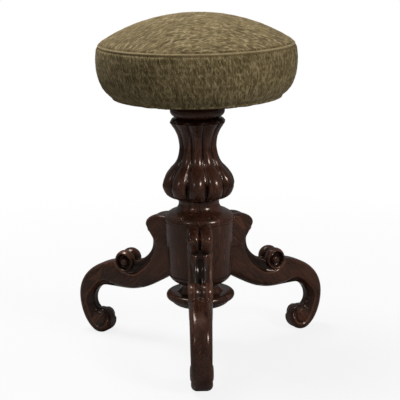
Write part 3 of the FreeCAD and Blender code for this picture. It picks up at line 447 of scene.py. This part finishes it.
# The cove between the lower arris and the inner edge, which goes on round the button of the foot
lower_cove = inside(lower_arris + INNER_SIDE, reach, height) & (from_eye > EYE_RADIUS)
room = np.minimum(LOWER_COVE_WIDTH, 0.6 * (from_lower + from_eye - EYE_RADIUS))
across_cove = np.clip(from_lower / np.maximum(room, 0.1), 0, 1)
lower_depth = np.minimum(LOWER_COVE_DEPTH, 0.75 * room)
lower_depth = lower_depth * np.sqrt(np.sin(math.pi / 2 * across_cove))
# The band between the two arrises is rounded down to them
near_arris = np.clip(1 - np.minimum(from_upper, from_lower) / BAND_ROUNDING, 0, 1) ** 2
on_band = ~(upper_cove | lower_cove | on_scroll) & (from_eye > EYE_RADIUS)
ring = np.clip((from_boss - BOSS_RADIUS) / (SCROLL_RADIUS - 3 - BOSS_RADIUS), 0, 1)
scroll_depth = BOSS_GROOVE * np.sin(math.pi * ring) + 1.2 * np.clip(from_boss / BOSS_RADIUS, 0, 1) ** 3
scroll_depth -= 1.2 * ease(from_boss, SCROLL_RADIUS - 5, SCROLL_RADIUS - 3)
depth = np.select(
    [on_scroll, upper_cove, lower_cove, on_band],
    [scroll_depth, ARRIS_FALL + upper_depth, ARRIS_FALL + lower_depth, ARRIS_FALL * near_arris],
    0.9 * (from_eye / EYE_RADIUS) ** 3,
)
side = side * (1 - depth / half)

# Two ridges with a flute between them down the front edge, and a pocket under the bulbs
at_front = (1 - ease(from_front, 1.0, 6.0)) * ease(from_scroll, SCROLL_RADIUS, SCROLL_RADIUS + 3)
at_front *= ease(np.hypot(reach - NOTCH[0], height - NOTCH[1]), 1.0, 6.0)
flute = 1 - ease(np.abs(side), 2.0, 7.2)
ridge = np.exp(-((np.abs(side) - RIDGE_SIDE) / RIDGE_WIDTH) ** 2)
pocket = np.clip(1 - np.hypot(reach - NOTCH[0] - 0.5, height - NOTCH[1]) / POCKET_RADIUS, 0, 1)
out = at_front * (RIDGE_HEIGHT * ridge - FLUTE_DEPTH * flute) - POCKET_DEPTH * pocket
held[:, 0] = side / 1000
held[:, 1] -= out * OUT_REACH / 1000
held[:, 2] += out * OUT_HEIGHT / 1000
set_places(leg, held)

# Painted shade darkens the coves and grooves, and the arrises and the rims of the scrolls are rubbed
shade_between_bulbs = (1 - ease(np.abs(side), 0.6, 2.8)) * (height > NOTCH[1]) * (reach > 60)
shade_between_rolls = (1 - ease(np.abs(side), 0.5, 2.2)) * (from_scroll > 12)
shade_between_rolls *= from_scroll < SCROLL_RADIUS + 0.5
hollows = 0.95 * upper_cove * upper_depth / COVE_DEPTH
hollows += 0.55 * lower_cove * lower_depth / LOWER_COVE_DEPTH
hollows += 0.9 * on_scroll * np.sin(math.pi * ring) + 0.6 * at_front * flute + 0.9 * pocket
hollows += 0.8 * shade_between_bulbs + 0.8 * shade_between_rolls
set_attribute(leg, "hollow_shade", np.clip(hollows, 0, 1))
nearest_arris = np.minimum(from_upper, from_lower) * ~on_scroll + 9.0 * on_scroll
rim = np.exp(-((from_scroll - SCROLL_RADIUS + 1.6) / 1.0) ** 2) * (np.abs(side) > 12)
edge = np.exp(-(nearest_arris / 0.9) ** 2) * (np.abs(side) > 8)
set_attribute(leg, "worn", 0.55 * np.clip(edge + 0.8 * rim + 0.5 * at_front * ridge, 0, 1))
bpy.ops.object.select_all(action="DESELECT")
leg.select_set(True)
bpy.context.view_layer.objects.active = leg
bpy.ops.object.mode_set(mode="EDIT")
bpy.ops.mesh.select_all(action="SELECT")
bpy.ops.mesh.vertices_smooth(factor=0.5, repeat=2)
bpy.ops.mesh.normals_make_consistent(inside=False)
bpy.ops.object.mode_set(mode="OBJECT")

for number, name in enumerate(LEG_NAMES):
    leg_turn = 2 * math.pi * number / len(LEG_NAMES)
    along_leg = (math.radians(-45), 0, leg_turn)
    carved = leg
    if number:
        carved = bpy.data.objects.new("carved_%s_leg" % name, leg.data.copy())
        carved.data.name = carved.name
        bpy.context.scene.collection.objects.link(carved)
        carved.data.transform(Matrix.Rotation(leg_turn, 4, "Z"))
    dress(carved, polished_rosewood(name + "_leg_rosewood", along_leg))
    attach(carved, "base")
    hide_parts(name + "_leg")

# Dowels
# Two turned beech pegs for each leg, with rounded ends, glued half into the drum and half into
# the leg. They are bare wood, and hidden once the stool is glued up.

BEECH_DARK, BEECH_LIGHT = (0.30, 0.17, 0.085, 1), (0.50, 0.32, 0.18, 1)


def plain_wood(name, grain_turn, dark, light, grain=0.0012):
    """Bare straight-grained wood, its grain upright before it is turned."""
    material, shader = new_material(name)
    fibre, ring = (grain, grain, grain * 25), (grain * 8, grain * 8, grain * 90)
    fibres = cloud(material, pattern_space(material, grain_turn, fibre), 1.0, 4, 0.6)
    rings = cloud(material, pattern_space(material, grain_turn, ring), 1.0, 2)
    streaked = ramp(material, fibres, [(0.3, dark), (0.7, light)])
    colour = blend(material, ramp(material, rings, [(0.42, (0, 0, 0, 1)), (0.6, (0.6, 0.6, 0.6, 1))]),
                   streaked, dark)
    relief = add_node(material, "Bump", {"Height": fibres, "Strength": 0.2, "Distance": 0.0002})
    set_inputs(material, shader, {
        "Base Color": colour, "Roughness": 0.62, "Normal": relief.outputs["Normal"],
    })
    return material


for number, name in enumerate(LEG_NAMES):
    lengthwise = (math.radians(90), 0, 2 * math.pi * number / len(LEG_NAMES))
    dress(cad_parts[name + "_leg_dowels"],
          plain_wood(name + "_beech", lengthwise, BEECH_DARK, BEECH_LIGHT, 0.0007))

# Nut
# A flanged iron bush, let flush into the top of the column, with three slotted wood screws. Oil and
# dust have darkened it.

IRON_DARK, IRON_BLACK, IRON_BARE = (0.055, 0.05, 0.047, 1), (0.16, 0.15, 0.14, 1), (0.28, 0.265, 0.25, 1)
RUST = (0.10, 0.045, 0.022, 1)
SLOT_WIDTH, SLOT_DEPTH = 0.0009, 0.0008
HEAD_RADIUS, SHANK_RADIUS, SCREW_LENGTH = 0.0042, 0.0022, 0.014
NUT_SCREWS, NUT_SCREW_CIRCLE = 3, 0.022


def iron(name, dark, bare, roughness):
    """Iron with an uneven dark skin, a little rust in patches, and fine scratches."""
    material, shader = new_material(name)
    skin = cloud(material, pattern_space(material, (0, 0, 0), (0.004, 0.004, 0.004)), 1.0, 6, 0.65)
    patches = cloud(material, pattern_space(material, (0, 0, 0), (0.012, 0.012, 0.012)), 1.0, 4)
    scratches = cloud(material, pattern_space(material, (0.3, 0.2, 0), (0.0003, 0.0003, 0.006)), 1.0, 2)
    metal = ramp(material, skin, [(0.35, dark), (0.7, bare)])
    rusted = ramp(material, patches, [(0.52, (0, 0, 0, 1)), (0.66, (0.7, 0.7, 0.7, 1))])
    colour = blend(material, rusted, metal, RUST)
    rough = add_node(material, "MapRange", {
        "Value": skin, "From Min": 0.3, "From Max": 0.75,
        "To Min": roughness - 0.08, "To Max": roughness + 0.12,
    }).outputs["Result"]
    relief = add_node(material, "Bump", {"Height": scratches, "Strength": 0.25, "Distance": 0.0001})
    set_inputs(material, shader, {
        "Base Color": colour, "Metallic": 1.0, "Roughness": rough, "Normal": relief.outputs["Normal"],
    })
    return material


def wood_screw(name, place, up):
    """A countersunk wood screw with a slot in its head, at a place on the ring and facing up or down."""
    face = 1 if up else -1
    section = [
        (0, -SCREW_LENGTH), (SHANK_RADIUS * 0.35, -SCREW_LENGTH + 0.0006),
        (SHANK_RADIUS * 0.9, -SCREW_LENGTH + 0.004), (SHANK_RADIUS, -0.006),
        (SHANK_RADIUS, SHANK_RADIUS - HEAD_RADIUS), (HEAD_RADIUS, -0.0001),
        (HEAD_RADIUS - 0.0001, 0), (0, 0),
    ]
    screw = lathe(name, section, 24)
    bpy.ops.mesh.primitive_cube_add(size=1, location=(0, 0, 0))
    cutter = bpy.context.object
    cutter.scale = (SLOT_WIDTH, 4 * HEAD_RADIUS, 2 * SLOT_DEPTH)
    bpy.ops.object.transform_apply(location=False, rotation=False, scale=True)
    apply_modifier(screw, "BOOLEAN", operation="DIFFERENCE", object=cutter, solver="EXACT")
    bpy.data.objects.remove(cutter)
    slot_turn = 2.4 * place.x / 0.03 + 1.7 * place.y / 0.03
    turned = Matrix.Rotation(0 if face == 1 else math.pi, 4, "X") @ Matrix.Rotation(slot_turn, 4, "Z")
    screw.data.transform(Matrix.Translation(place) @ turned)
    return screw


def ring_place(number, count, radius, height):
    angle = 2 * math.pi * number / count
    return Vector((radius * math.cos(angle), radius * math.sin(angle), height))


black_iron = iron("black_iron", IRON_DARK, IRON_BLACK, 0.42)
worn_iron = iron("worn_iron", IRON_DARK, IRON_BARE, 0.36)
dress(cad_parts["column_nut"], worn_iron)
for number in range(NUT_SCREWS):
    place = ring_place(number, NUT_SCREWS, NUT_SCREW_CIRCLE, COLUMN_TOP)
    screw = wood_screw("nut_wood_screw_%d" % (number + 1), place, True)
    dress(screw, worn_iron)
    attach(screw, "base")
    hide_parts("nut_screws")

# Seat screw
# A wrought iron bar with a coarse square thread cut on the lathe, right-handed, greased, and
# riveted into the plate at its upper end.

PITCH = 0.00625
CREST, ROOT = 0.0110, 0.0088
FLANK, CREST_WIDTH = 0.08, 0.42
RIVET_RADIUS = 0.0085
THREAD_STEPS = 48
screw_low, screw_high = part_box("seat_screw")
PLATE_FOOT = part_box("screw_plate")[0].z
THREAD_LENGTH = PLATE_FOOT - screw_low.z

bpy.ops.object.select_all(action="DESELECT")
bpy.ops.mesh.primitive_plane_add(size=0.001, location=(0, 0, 0))
thread = bpy.context.object
thread.name = thread.data.name = "threaded_bar"
bpy.ops.object.mode_set(mode="EDIT")
bpy.ops.mesh.merge(type="CENTER")
bpy.ops.transform.translate(value=(ROOT, 0, screw_low.z - 2 * PITCH))
for out, step_up in ((0, CREST_WIDTH), (1, FLANK), (0, CREST_WIDTH), (-1, FLANK)):
    bpy.ops.mesh.extrude_region_move(
        TRANSFORM_OT_translate={"value": (out * (CREST - ROOT), 0, step_up * PITCH)}
    )
bpy.ops.object.mode_set(mode="OBJECT")
turns = int(THREAD_LENGTH / PITCH) + 4
apply_modifier(thread, "SCREW", axis="Z", angle=2 * math.pi, screw_offset=PITCH, iterations=turns,
               steps=THREAD_STEPS, render_steps=THREAD_STEPS, use_merge_vertices=True,
               merge_threshold=0.00001)
bpy.ops.object.mode_set(mode="EDIT")
for height, keep_above in ((screw_low.z, True), (PLATE_FOOT - 0.0001, False)):
    bpy.ops.mesh.select_all(action="SELECT")
    bpy.ops.mesh.bisect(plane_co=(0, 0, height), plane_no=(0, 0, 1), use_fill=True,
                        clear_inner=keep_above, clear_outer=not keep_above)
bpy.ops.mesh.extrude_region_move(TRANSFORM_OT_translate={"value": (0, 0, 0)})
bpy.ops.transform.resize(value=(RIVET_RADIUS / CREST, RIVET_RADIUS / CREST, 1),
                         center_override=(0, 0, PLATE_FOOT))
bpy.ops.mesh.extrude_region_move(TRANSFORM_OT_translate={"value": (0, 0, screw_high.z - PLATE_FOOT)})
bpy.ops.mesh.select_all(action="SELECT")
bpy.ops.mesh.normals_make_consistent(inside=False)
bpy.ops.object.mode_set(mode="OBJECT")
bpy.ops.object.shade_smooth_by_angle(angle=math.radians(35))
dress(thread, worn_iron)
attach(thread, "seat")
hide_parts("seat_screw")

# Plate
# A round iron plate with the screw riveted through its middle, held up into the seat board by six
# slotted wood screws. It is black from the forge.

PLATE_SCREWS, PLATE_SCREW_CIRCLE = 6, 0.034
dress(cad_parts["screw_plate"], black_iron)
for number in range(PLATE_SCREWS):
    place = ring_place(number, PLATE_SCREWS, PLATE_SCREW_CIRCLE, PLATE_FOOT)
    screw = wood_screw("plate_wood_screw_%d" % (number + 1), place, False)
    dress(screw, black_iron)
    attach(screw, "seat")
    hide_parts("plate_screws")

# Seat board
# A round of pine, sawn from one wide plank and left bare. The stuffing lies over it, the cloths
# are tacked to its underside, and the plate is screwed up against it.

PINE_DARK, PINE_LIGHT = (0.28, 0.15, 0.06, 1), (0.46, 0.30, 0.15, 1)
dress(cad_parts["seat_board"],
      plain_wood("pine", (math.radians(90), 0, 0.4), PINE_DARK, PINE_LIGHT, 0.002))

# Cushion
# Curled hair and cotton wadding over the board, under an olive chenille cover: a round top panel
# sewn to a band, the band drawn down, turned under the board and tacked. The seam stands a little
# proud, and the pile has crushed into crinkled ridges.

BOARD_FOOT, BOARD_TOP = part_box("seat_board")[0].z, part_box("seat_board")[1].z
BOARD_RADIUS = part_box("seat_board")[1].x
SEAM_RADIUS, SEAM_HEIGHT = 0.147, BOARD_FOOT + 0.079
BULGE_RADIUS, BULGE_HEIGHT = 0.1526, BOARD_FOOT + 0.049
TUCK_RADIUS, HEM_RADIUS = 0.112, 0.102
CROWN_HEIGHT = BOARD_FOOT + 0.126
HEM_FOOT, HEM_TOP = BOARD_FOOT - 0.0019, BOARD_FOOT - 0.0003
BOARD_GAP = 0.0003
# The form starts this much smaller than the stuffed cushion, and the swelling makes it up
SMALLER = 0.003
STUFFING_VOXEL = 0.0045
SWELL_FRAMES, SWELL_PRESSURE, SWELL_CAP = 20, 4.0, 0.006
COVER_MASS, COVER_STIFFNESS, COVER_BENDING = 0.3, 12, 2
BAND_BULGE, CROWN_BULGE, TURNING_SIDES = 0.05, 0.075, 96
BAND_RIDGE_LENGTH, BAND_RIDGE_SPACING, BAND_LEAN = 0.013, 0.0032, 0.35
TOP_RIDGE_LENGTH, TOP_RIDGE_SPACING, TOP_BEND = 0.013, 0.0044, 3.0
CROOK_SIZE, FINE_CROOK_SIZE, CROOK, FINE_CROOK = 0.013, 0.0055, 0.0030, 0.0012
RIDGE_RISE, WELT_RISE, WELT_WIDTH, SEAM_SIDE = 0.0013, 0.0011, 0.0014, 0.0036
PUCKER, FINE_PUCKER, TUCK_RISE, TUCK_WIDTH = 0.0022, 0.0016, 0.010, 0.011
# Painted shade in the valleys, the pile's own colour, and a painted sheen on the tips
VALLEY_SHADE, PILE, SHEEN_TIPS = (0.042, 0.029, 0.009, 1), (0.190, 0.142, 0.060, 1), (0.54, 0.45, 0.27, 1)


def chenille(name):
    """Crushed pile, with painted shade between the ridges and a painted sheen on their tips, which the
    attribute ridge tells.
    """
    material, shader = new_material(name)
    ridge = add_node(material, "Attribute", attribute_name="ridge").outputs["Fac"]
    pile = cloud(material, pattern_space(material, (0, 0, 0), (0.0009, 0.0009, 0.0012)), 1.0, 3, 0.6)
    patches = cloud(material, pattern_space(material, (0, 0, 0), (0.03, 0.03, 0.02)), 1.0, 3)
    height = add_node(material, "Math", {0: ridge, 1: pile}, operation="ADD").outputs["Value"]
    height = add_node(material, "Math", {0: height, 1: 0.5}, operation="MULTIPLY").outputs["Value"]
    # Painted sheen and shade: the valleys dark and the tips pale
    crushed = ramp(material, height, [(0.22, VALLEY_SHADE), (0.50, PILE), (0.74, SHEEN_TIPS)])
    worn = ramp(material, patches, [(0.3, (0.82, 0.79, 0.74, 1)), (0.7, (1.12, 1.1, 1.08, 1))])
    colour = blend(material, 1.0, crushed, worn, "MULTIPLY")
    relief = add_node(material, "Bump", {"Height": pile, "Strength": 0.75, "Distance": 0.0008})
    set_inputs(material, shader, {
        "Base Color": colour, "Roughness": 0.85, "Normal": relief.outputs["Normal"],
        "Sheen Weight": 0.12, "Sheen Roughness": 0.4, "Sheen Tint": (0.80, 0.74, 0.58, 1),
        "Specular IOR Level": 0.25,
    })
    return material


def crinkle(along, across, length, spacing, seed):
    """Crooked broken ridges that run along, with a spacing across: 1 on a ridge and 0 between."""
    found = np.empty(len(along))
    for index, (far, near) in enumerate(zip(along / length, across / spacing)):
        broad = 1 - min(abs(noise.noise(Vector((far, near, seed)))) * 2.2, 1)
        fine = 1 - min(abs(noise.noise(Vector((far * 1.7, near * 1.9, seed + 5)))) * 2.6, 1)
        found[index] = 0.5 * broad + 0.5 * fine
    return found


bulge_inner = BULGE_RADIUS - SMALLER
quarter = [
    (TUCK_RADIUS + (bulge_inner - TUCK_RADIUS) * math.sin(turn),
     BULGE_HEIGHT - (BULGE_HEIGHT - HEM_FOOT) * math.cos(turn))
    for turn in np.linspace(0, math.pi / 2, 13)
]
outline = [(0, HEM_FOOT), *quarter]
outline += arc(quarter[-1], (SEAM_RADIUS, SEAM_HEIGHT), BAND_BULGE, 6)
outline += arc((SEAM_RADIUS, SEAM_HEIGHT), (0, CROWN_HEIGHT - SMALLER), CROWN_BULGE, 18)
cushion = lathe("padded_cushion", outline, TURNING_SIDES)
apply_modifier(cushion, "REMESH", mode="VOXEL", voxel_size=STUFFING_VOXEL, use_smooth_shade=True)

resting = places(cushion).copy()
resting_radius = np.hypot(resting[:, 0], resting[:, 1])
from_seam = np.hypot(resting_radius - SEAM_RADIUS, resting[:, 2] - SEAM_HEIGHT)
underside = resting[:, 2] < HEM_FOOT + 0.0015
rest_place = cushion.data.attributes.new("rest_place", "FLOAT_VECTOR", "POINT")
rest_place.data.foreach_set("vector", resting.ravel().astype(np.float32))
tied = cushion.vertex_groups.new(name="tied")
for index in np.flatnonzero(underside | (from_seam < 0.0035)):
    tied.add([int(index)], 1.0, "REPLACE")
cloth = cushion.modifiers.new("stuffing", "CLOTH")
cloth.settings.quality = 6
cloth.settings.mass = COVER_MASS
cloth.settings.tension_stiffness = cloth.settings.compression_stiffness = COVER_STIFFNESS
cloth.settings.bending_stiffness = COVER_BENDING
cloth.settings.use_pressure = True
cloth.settings.uniform_pressure_force = SWELL_PRESSURE
cloth.settings.effector_weights.gravity = 0
cloth.settings.vertex_group_mass = "tied"
cloth.point_cache.frame_start, cloth.point_cache.frame_end = 1, SWELL_FRAMES
for swell_frame in range(1, SWELL_FRAMES + 1):
    bpy.context.scene.frame_set(swell_frame)
bpy.context.view_layer.objects.active = cushion
bpy.ops.object.modifier_apply(modifier=cloth.name)
bpy.context.scene.frame_set(1)
swollen = places(cushion)
move = swollen - resting
far = np.linalg.norm(move, axis=1, keepdims=True)
# The band is drawn tight toward its hem
cap = SWELL_CAP * ease(resting[:, 2:], HEM_FOOT + 0.006, BULGE_HEIGHT)
set_places(cushion, resting + move * np.minimum(1, cap / np.maximum(far, 1e-9)))
apply_modifier(cushion, "SUBSURF", levels=2, render_levels=2)

held = places(cushion)
rest_place = np.empty(len(held) * 3, np.float32)
cushion.data.attributes["rest_place"].data.foreach_get("vector", rest_place)
rest_place = rest_place.reshape(-1, 3)
cushion.data.attributes.remove(cushion.data.attributes["rest_place"])
resting_radius = np.hypot(rest_place[:, 0], rest_place[:, 1])
around = np.arctan2(held[:, 1], held[:, 0])
normals = np.empty(len(held) * 3)
cushion.data.vertices.foreach_get("normal", normals)
normals = normals.reshape(-1, 3)
to_seam = np.hypot(resting_radius - SEAM_RADIUS, rest_place[:, 2] - SEAM_HEIGHT)
inside_seam = (resting_radius < SEAM_RADIUS - 0.004) & (rest_place[:, 2] > BULGE_HEIGHT)
on_top = (rest_place[:, 2] > SEAM_HEIGHT) | inside_seam
underneath = rest_place[:, 2] < HEM_FOOT + 0.0012

# The band's ridges run up and down, leaning a little, and the top's run across and bend at the left
girth = around * BULGE_RADIUS
over_middle = held[:, 2] - BULGE_HEIGHT
lean = BAND_LEAN * np.sin(around + 0.9)
bent = np.array([noise.noise(Vector(place) / CROOK_SIZE) for place in held])
fine_bent = np.array([
    noise.noise(Vector(place) / FINE_CROOK_SIZE + Vector((9, 4, 2))) for place in held
])
crook = CROOK * bent + FINE_CROOK * fine_bent
band_across = girth - lean * over_middle + crook
band_ridge = crinkle(over_middle, band_across, BAND_RIDGE_LENGTH, BAND_RIDGE_SPACING, 3.1)
top_across = held[:, 1] + TOP_BEND * np.minimum(held[:, 0], 0) ** 2 + crook
top_ridge = crinkle(held[:, 0], top_across, TOP_RIDGE_LENGTH, TOP_RIDGE_SPACING, 7.7)
ridge = np.where(on_top, top_ridge, band_ridge)
flat_near_seam = ease(to_seam, 0.0015, 0.005)
welt = np.exp(-(to_seam / WELT_WIDTH) ** 2)
groove = np.exp(-((to_seam - SEAM_SIDE) / WELT_WIDTH) ** 2)
height = RIDGE_RISE * (ridge - 0.45) * flat_near_seam * (0.75 + 0.5 * bent) + WELT_RISE * (welt - groove)
height *= ~underneath
held += normals * height[:, None]


def round_noise(turns, waves, seed):
    """Noise that closes on itself round the seat, in about so many waves."""
    return np.array([
        noise.noise(Vector((math.cos(turn) * waves, math.sin(turn) * waves, seed))) for turn in turns
    ])


# The band is drawn in unevenly where it turns under the board
at_tuck = np.exp(-((rest_place[:, 2] - HEM_FOOT - TUCK_RISE) / TUCK_WIDTH) ** 2) * ~underneath
pull = at_tuck * (PUCKER * round_noise(around, 5, 0.5) + FINE_PUCKER * round_noise(around, 16, 2))
held[:, 0] += np.cos(around) * pull
held[:, 1] += np.sin(around) * pull

# Under the hem the form turns in round the board
pocket = [(HEM_RADIUS, HEM_FOOT), (HEM_RADIUS, HEM_TOP), (BOARD_RADIUS + BOARD_GAP, HEM_TOP),
          (BOARD_RADIUS + BOARD_GAP, BOARD_TOP + BOARD_GAP), (0, BOARD_TOP + BOARD_GAP)]
lengths = [0.0]
for start, end in zip(pocket, pocket[1:]):
    lengths.append(lengths[-1] + math.hypot(end[0] - start[0], end[1] - start[1]))
radius = np.hypot(held[:, 0], held[:, 1])
held[underneath, 2] = HEM_FOOT
in_pocket = underneath & (radius < HEM_RADIUS)
way = (HEM_RADIUS - radius[in_pocket]) / HEM_RADIUS * lengths[-1]
new_radius = np.interp(way, lengths, [place[0] for place in pocket])
shrink = new_radius / np.maximum(radius[in_pocket], 1e-6)
held[in_pocket, 0] *= shrink
held[in_pocket, 1] *= shrink
held[in_pocket, 2] = np.interp(way, lengths, [place[1] for place in pocket])
set_places(cushion, held)
# Painted sheen and shade: pale ridge tops, dark valleys, and a painted highlight along the seam's welt
shade = 0.08 + 0.75 * ridge * flat_near_seam + 0.35 * (1 - flat_near_seam) + 0.5 * welt
set_attribute(cushion, "ridge", np.clip(shade, 0, 1))
dress(cushion, chenille("chenille"))
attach(cushion, "seat")
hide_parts("cover_top", "cover_band", "wadding", "hair_stuffing")

# Bottoming
# A disc of black cotton cloth, stretched flat over the underside and cut out round the plate. The
# tacks hold it on top of the cover's turned edge.

CLOTH_INNER, CLOTH_OUTER = 0.046, 0.116
CLOTH_TOP, CLOTH_THICKNESS = BOARD_FOOT - 0.0020, 0.0006
CLOTH_RINGS, CLOTH_STEPS = 28, 192
TACKS, TACK_SAG, SLACK, SLACK_SIZE = 24, 0.0007, 0.0004, 0.028
CLOTH_BLACK, CLOTH_FADED = (0.012, 0.012, 0.013, 1), (0.035, 0.033, 0.032, 1)


def black_cotton(name):
    """Thin plain-woven cotton, faded in patches, its threads square to each other."""
    material, shader = new_material(name)
    lengthwise = cloud(material, pattern_space(material, (0, 0, 0), (0.0004, 0.012, 0.012)), 1.0, 2)
    crosswise = cloud(material, pattern_space(material, (0, 0, 0), (0.012, 0.0004, 0.012)), 1.0, 2)
    faded = cloud(material, pattern_space(material, (0, 0, 0), (0.03, 0.03, 0.03)), 1.0, 4)
    weave = add_node(material, "Math", {0: lengthwise, 1: crosswise}, operation="ADD").outputs["Value"]
    colour = ramp(material, faded, [(0.35, CLOTH_BLACK), (0.7, CLOTH_FADED)])
    relief = add_node(material, "Bump", {"Height": weave, "Strength": 0.5, "Distance": 0.0003})
    set_inputs(material, shader, {
        "Base Color": colour, "Roughness": 0.9, "Normal": relief.outputs["Normal"],
        "Sheen Weight": 0.15, "Specular IOR Level": 0.2,
    })
    return material


bpy.ops.object.select_all(action="DESELECT")
bpy.ops.mesh.primitive_circle_add(vertices=CLOTH_STEPS, radius=CLOTH_OUTER, location=(0, 0, CLOTH_TOP))
under_cloth = bpy.context.object
under_cloth.name = under_cloth.data.name = "bottoming_cloth"
bpy.ops.object.mode_set(mode="EDIT")
bpy.ops.mesh.select_all(action="SELECT")
ring_step = (CLOTH_OUTER - CLOTH_INNER) / CLOTH_RINGS
for ring_number in range(CLOTH_RINGS):
    outer = CLOTH_OUTER - ring_number * ring_step
    shrink = (outer - ring_step) / outer
    bpy.ops.mesh.extrude_edges_move()
    bpy.ops.transform.resize(value=(shrink, shrink, 1), center_override=(0, 0, CLOTH_TOP))
bpy.ops.mesh.select_all(action="SELECT")
bpy.ops.mesh.normals_make_consistent(inside=False)
bpy.ops.mesh.faces_shade_smooth()
bpy.ops.object.mode_set(mode="OBJECT")
held = places(under_cloth)
radius, around = np.hypot(held[:, 0], held[:, 1]), np.arctan2(held[:, 1], held[:, 0])
between_tacks = (1 - np.cos(around * TACKS)) / 2 * np.exp(-((radius - 0.114) / 0.006) ** 2)
held[:, 2] -= TACK_SAG * between_tacks
slack = np.array([noise.noise(Vector(place) / SLACK_SIZE) for place in held])
away_from_edges = ease(radius, 0.047, 0.06) * (1 - ease(radius, 0.095, 0.105))
held[:, 2] -= SLACK * np.clip(slack, 0, 1) * away_from_edges
set_places(under_cloth, held)
if under_cloth.data.polygons[0].normal.z < 0:
    under_cloth.data.flip_normals()
apply_modifier(under_cloth, "SOLIDIFY", thickness=CLOTH_THICKNESS, offset=-1)
dress(under_cloth, black_cotton("black_cotton"))
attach(under_cloth, "seat")
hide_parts("bottoming")

# Tacks
# Blued iron tacks, cut from sheet with a struck head, driven in a ring through both cloths into
# the board.

BLUED_DARK, BLUED_BARE = (0.02, 0.022, 0.03, 1), (0.12, 0.125, 0.14, 1)
dress(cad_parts["cover_tacks"], iron("blued_iron", BLUED_DARK, BLUED_BARE, 0.35))

# Floor and light
# A pale studio floor that runs out to white, a large soft light over the seat, one from the right
# and front, and a weak one from the left and front.

FLOOR_SIZE = 30.0
FLOOR_PALE, FLOOR_MIRRORED = (0.80, 0.80, 0.80, 1), (0.28, 0.28, 0.28, 1)
# How much of the floor is plain white to the eye, close to the stool and far from it
SHADOW_REACH, WHITE_SHARE = (0.30, 1.1), (0.85, 1.0)
WHITE, SKY_GREY, SKY_MIRRORED = (1, 1, 1, 1), (0.12, 0.12, 0.12, 1), 0.06
AIM_HEIGHT = 0.35
LIGHTS = [
    ("over_light", (-0.55, 0.30, 2.0), 1.0, 30),
    ("right_light", (1.7, -1.5, 1.5), 0.65, 27),
    ("left_light", (-1.5, -1.9, 1.5), 0.5, 5),
]

bpy.ops.object.select_all(action="DESELECT")
bpy.ops.mesh.primitive_plane_add(size=FLOOR_SIZE, location=(0, 0, 0))
floor = bpy.context.object
floor.name = floor.data.name = "floor"
paint, shader = new_material("pale_floor")
seen = add_node(paint, "LightPath").outputs["Is Camera Ray"]
set_inputs(paint, shader, {
    "Base Color": blend(paint, seen, FLOOR_MIRRORED, FLOOR_PALE), "Roughness": 0.9,
    "Specular IOR Level": 0.1,
})
spot = add_node(paint, "TexCoord").outputs["Object"]
reach_out = add_node(paint, "VectorMath", {0: spot}, operation="LENGTH").outputs["Value"]
away = add_node(paint, "MapRange", {
    "Value": reach_out, "From Min": SHADOW_REACH[0], "From Max": SHADOW_REACH[1],
    "To Min": WHITE_SHARE[0], "To Max": WHITE_SHARE[1],
}).outputs["Result"]
share = add_node(paint, "Math", {0: away, 1: seen}, operation="MULTIPLY").outputs["Value"]
white = add_node(paint, "Emission", {"Color": WHITE, "Strength": 1.0}).outputs["Emission"]
mixed = add_node(paint, "MixShader", {"Fac": share, 1: shader.outputs["BSDF"], 2: white})
surface = paint.node_tree.nodes["Material Output"].inputs["Surface"]
paint.node_tree.links.new(mixed.outputs["Shader"], surface)
floor.data.materials.append(paint)

sky = bpy.data.worlds.new("studio")
bpy.context.scene.world = sky
sky.use_nodes = True
air = sky.node_tree.nodes["Background"]
ray = add_node(sky, "LightPath").outputs
shown = add_node(sky, "Math", {0: ray["Is Camera Ray"], 1: ray["Is Transmission Ray"]},
                 operation="MAXIMUM").outputs["Value"]
mirrored = add_node(sky, "Math", {0: ray["Is Glossy Ray"], 1: SKY_MIRRORED},
                    operation="MULTIPLY").outputs["Value"]
shown = add_node(sky, "Math", {0: shown, 1: mirrored}, operation="MAXIMUM").outputs["Value"]
sky.node_tree.links.new(blend(sky, shown, SKY_GREY, WHITE), air.inputs["Color"])
air.inputs["Strength"].default_value = 1.0

for name, place, width, power in LIGHTS:
    lamp_data = bpy.data.lights.new(name, "AREA")
    lamp_data.shape = "DISK"
    lamp_data.size, lamp_data.energy = width, power
    lamp = bpy.data.objects.new(name, lamp_data)
    bpy.context.scene.collection.objects.link(lamp)
    aim = Vector(place) - Vector((0, 0, AIM_HEIGHT))
    lamp.matrix_world = Matrix.Translation(place) @ aim.to_track_quat("Z", "Y").to_matrix().to_4x4()

# Camera
# Straight in front of the stool, a little above the seat and looking down, at the photograph's
# distance and angle, which were fitted to the outlines of legs, drum, column and seat.

EYE_DISTANCE, EYE_HEIGHT = 1.989, 0.6996
TILT, ROLL = math.radians(90 - 13.13), math.radians(-0.97)
camera_data = bpy.data.cameras.new("camera")
camera_data.lens, camera_data.sensor_width, camera_data.shift_x = 120.8, 36, 0.00275
camera = bpy.data.objects.new("camera", camera_data)
bpy.context.scene.collection.objects.link(camera)
camera.matrix_world = (
    Matrix.Translation((0, -EYE_DISTANCE, EYE_HEIGHT)) @ Matrix.Rotation(TILT, 4, "X")
    @ Matrix.Rotation(ROLL, 4, "Z")
)
bpy.context.scene.camera = camera

bpy.context.scene.view_settings.view_transform = "Standard"
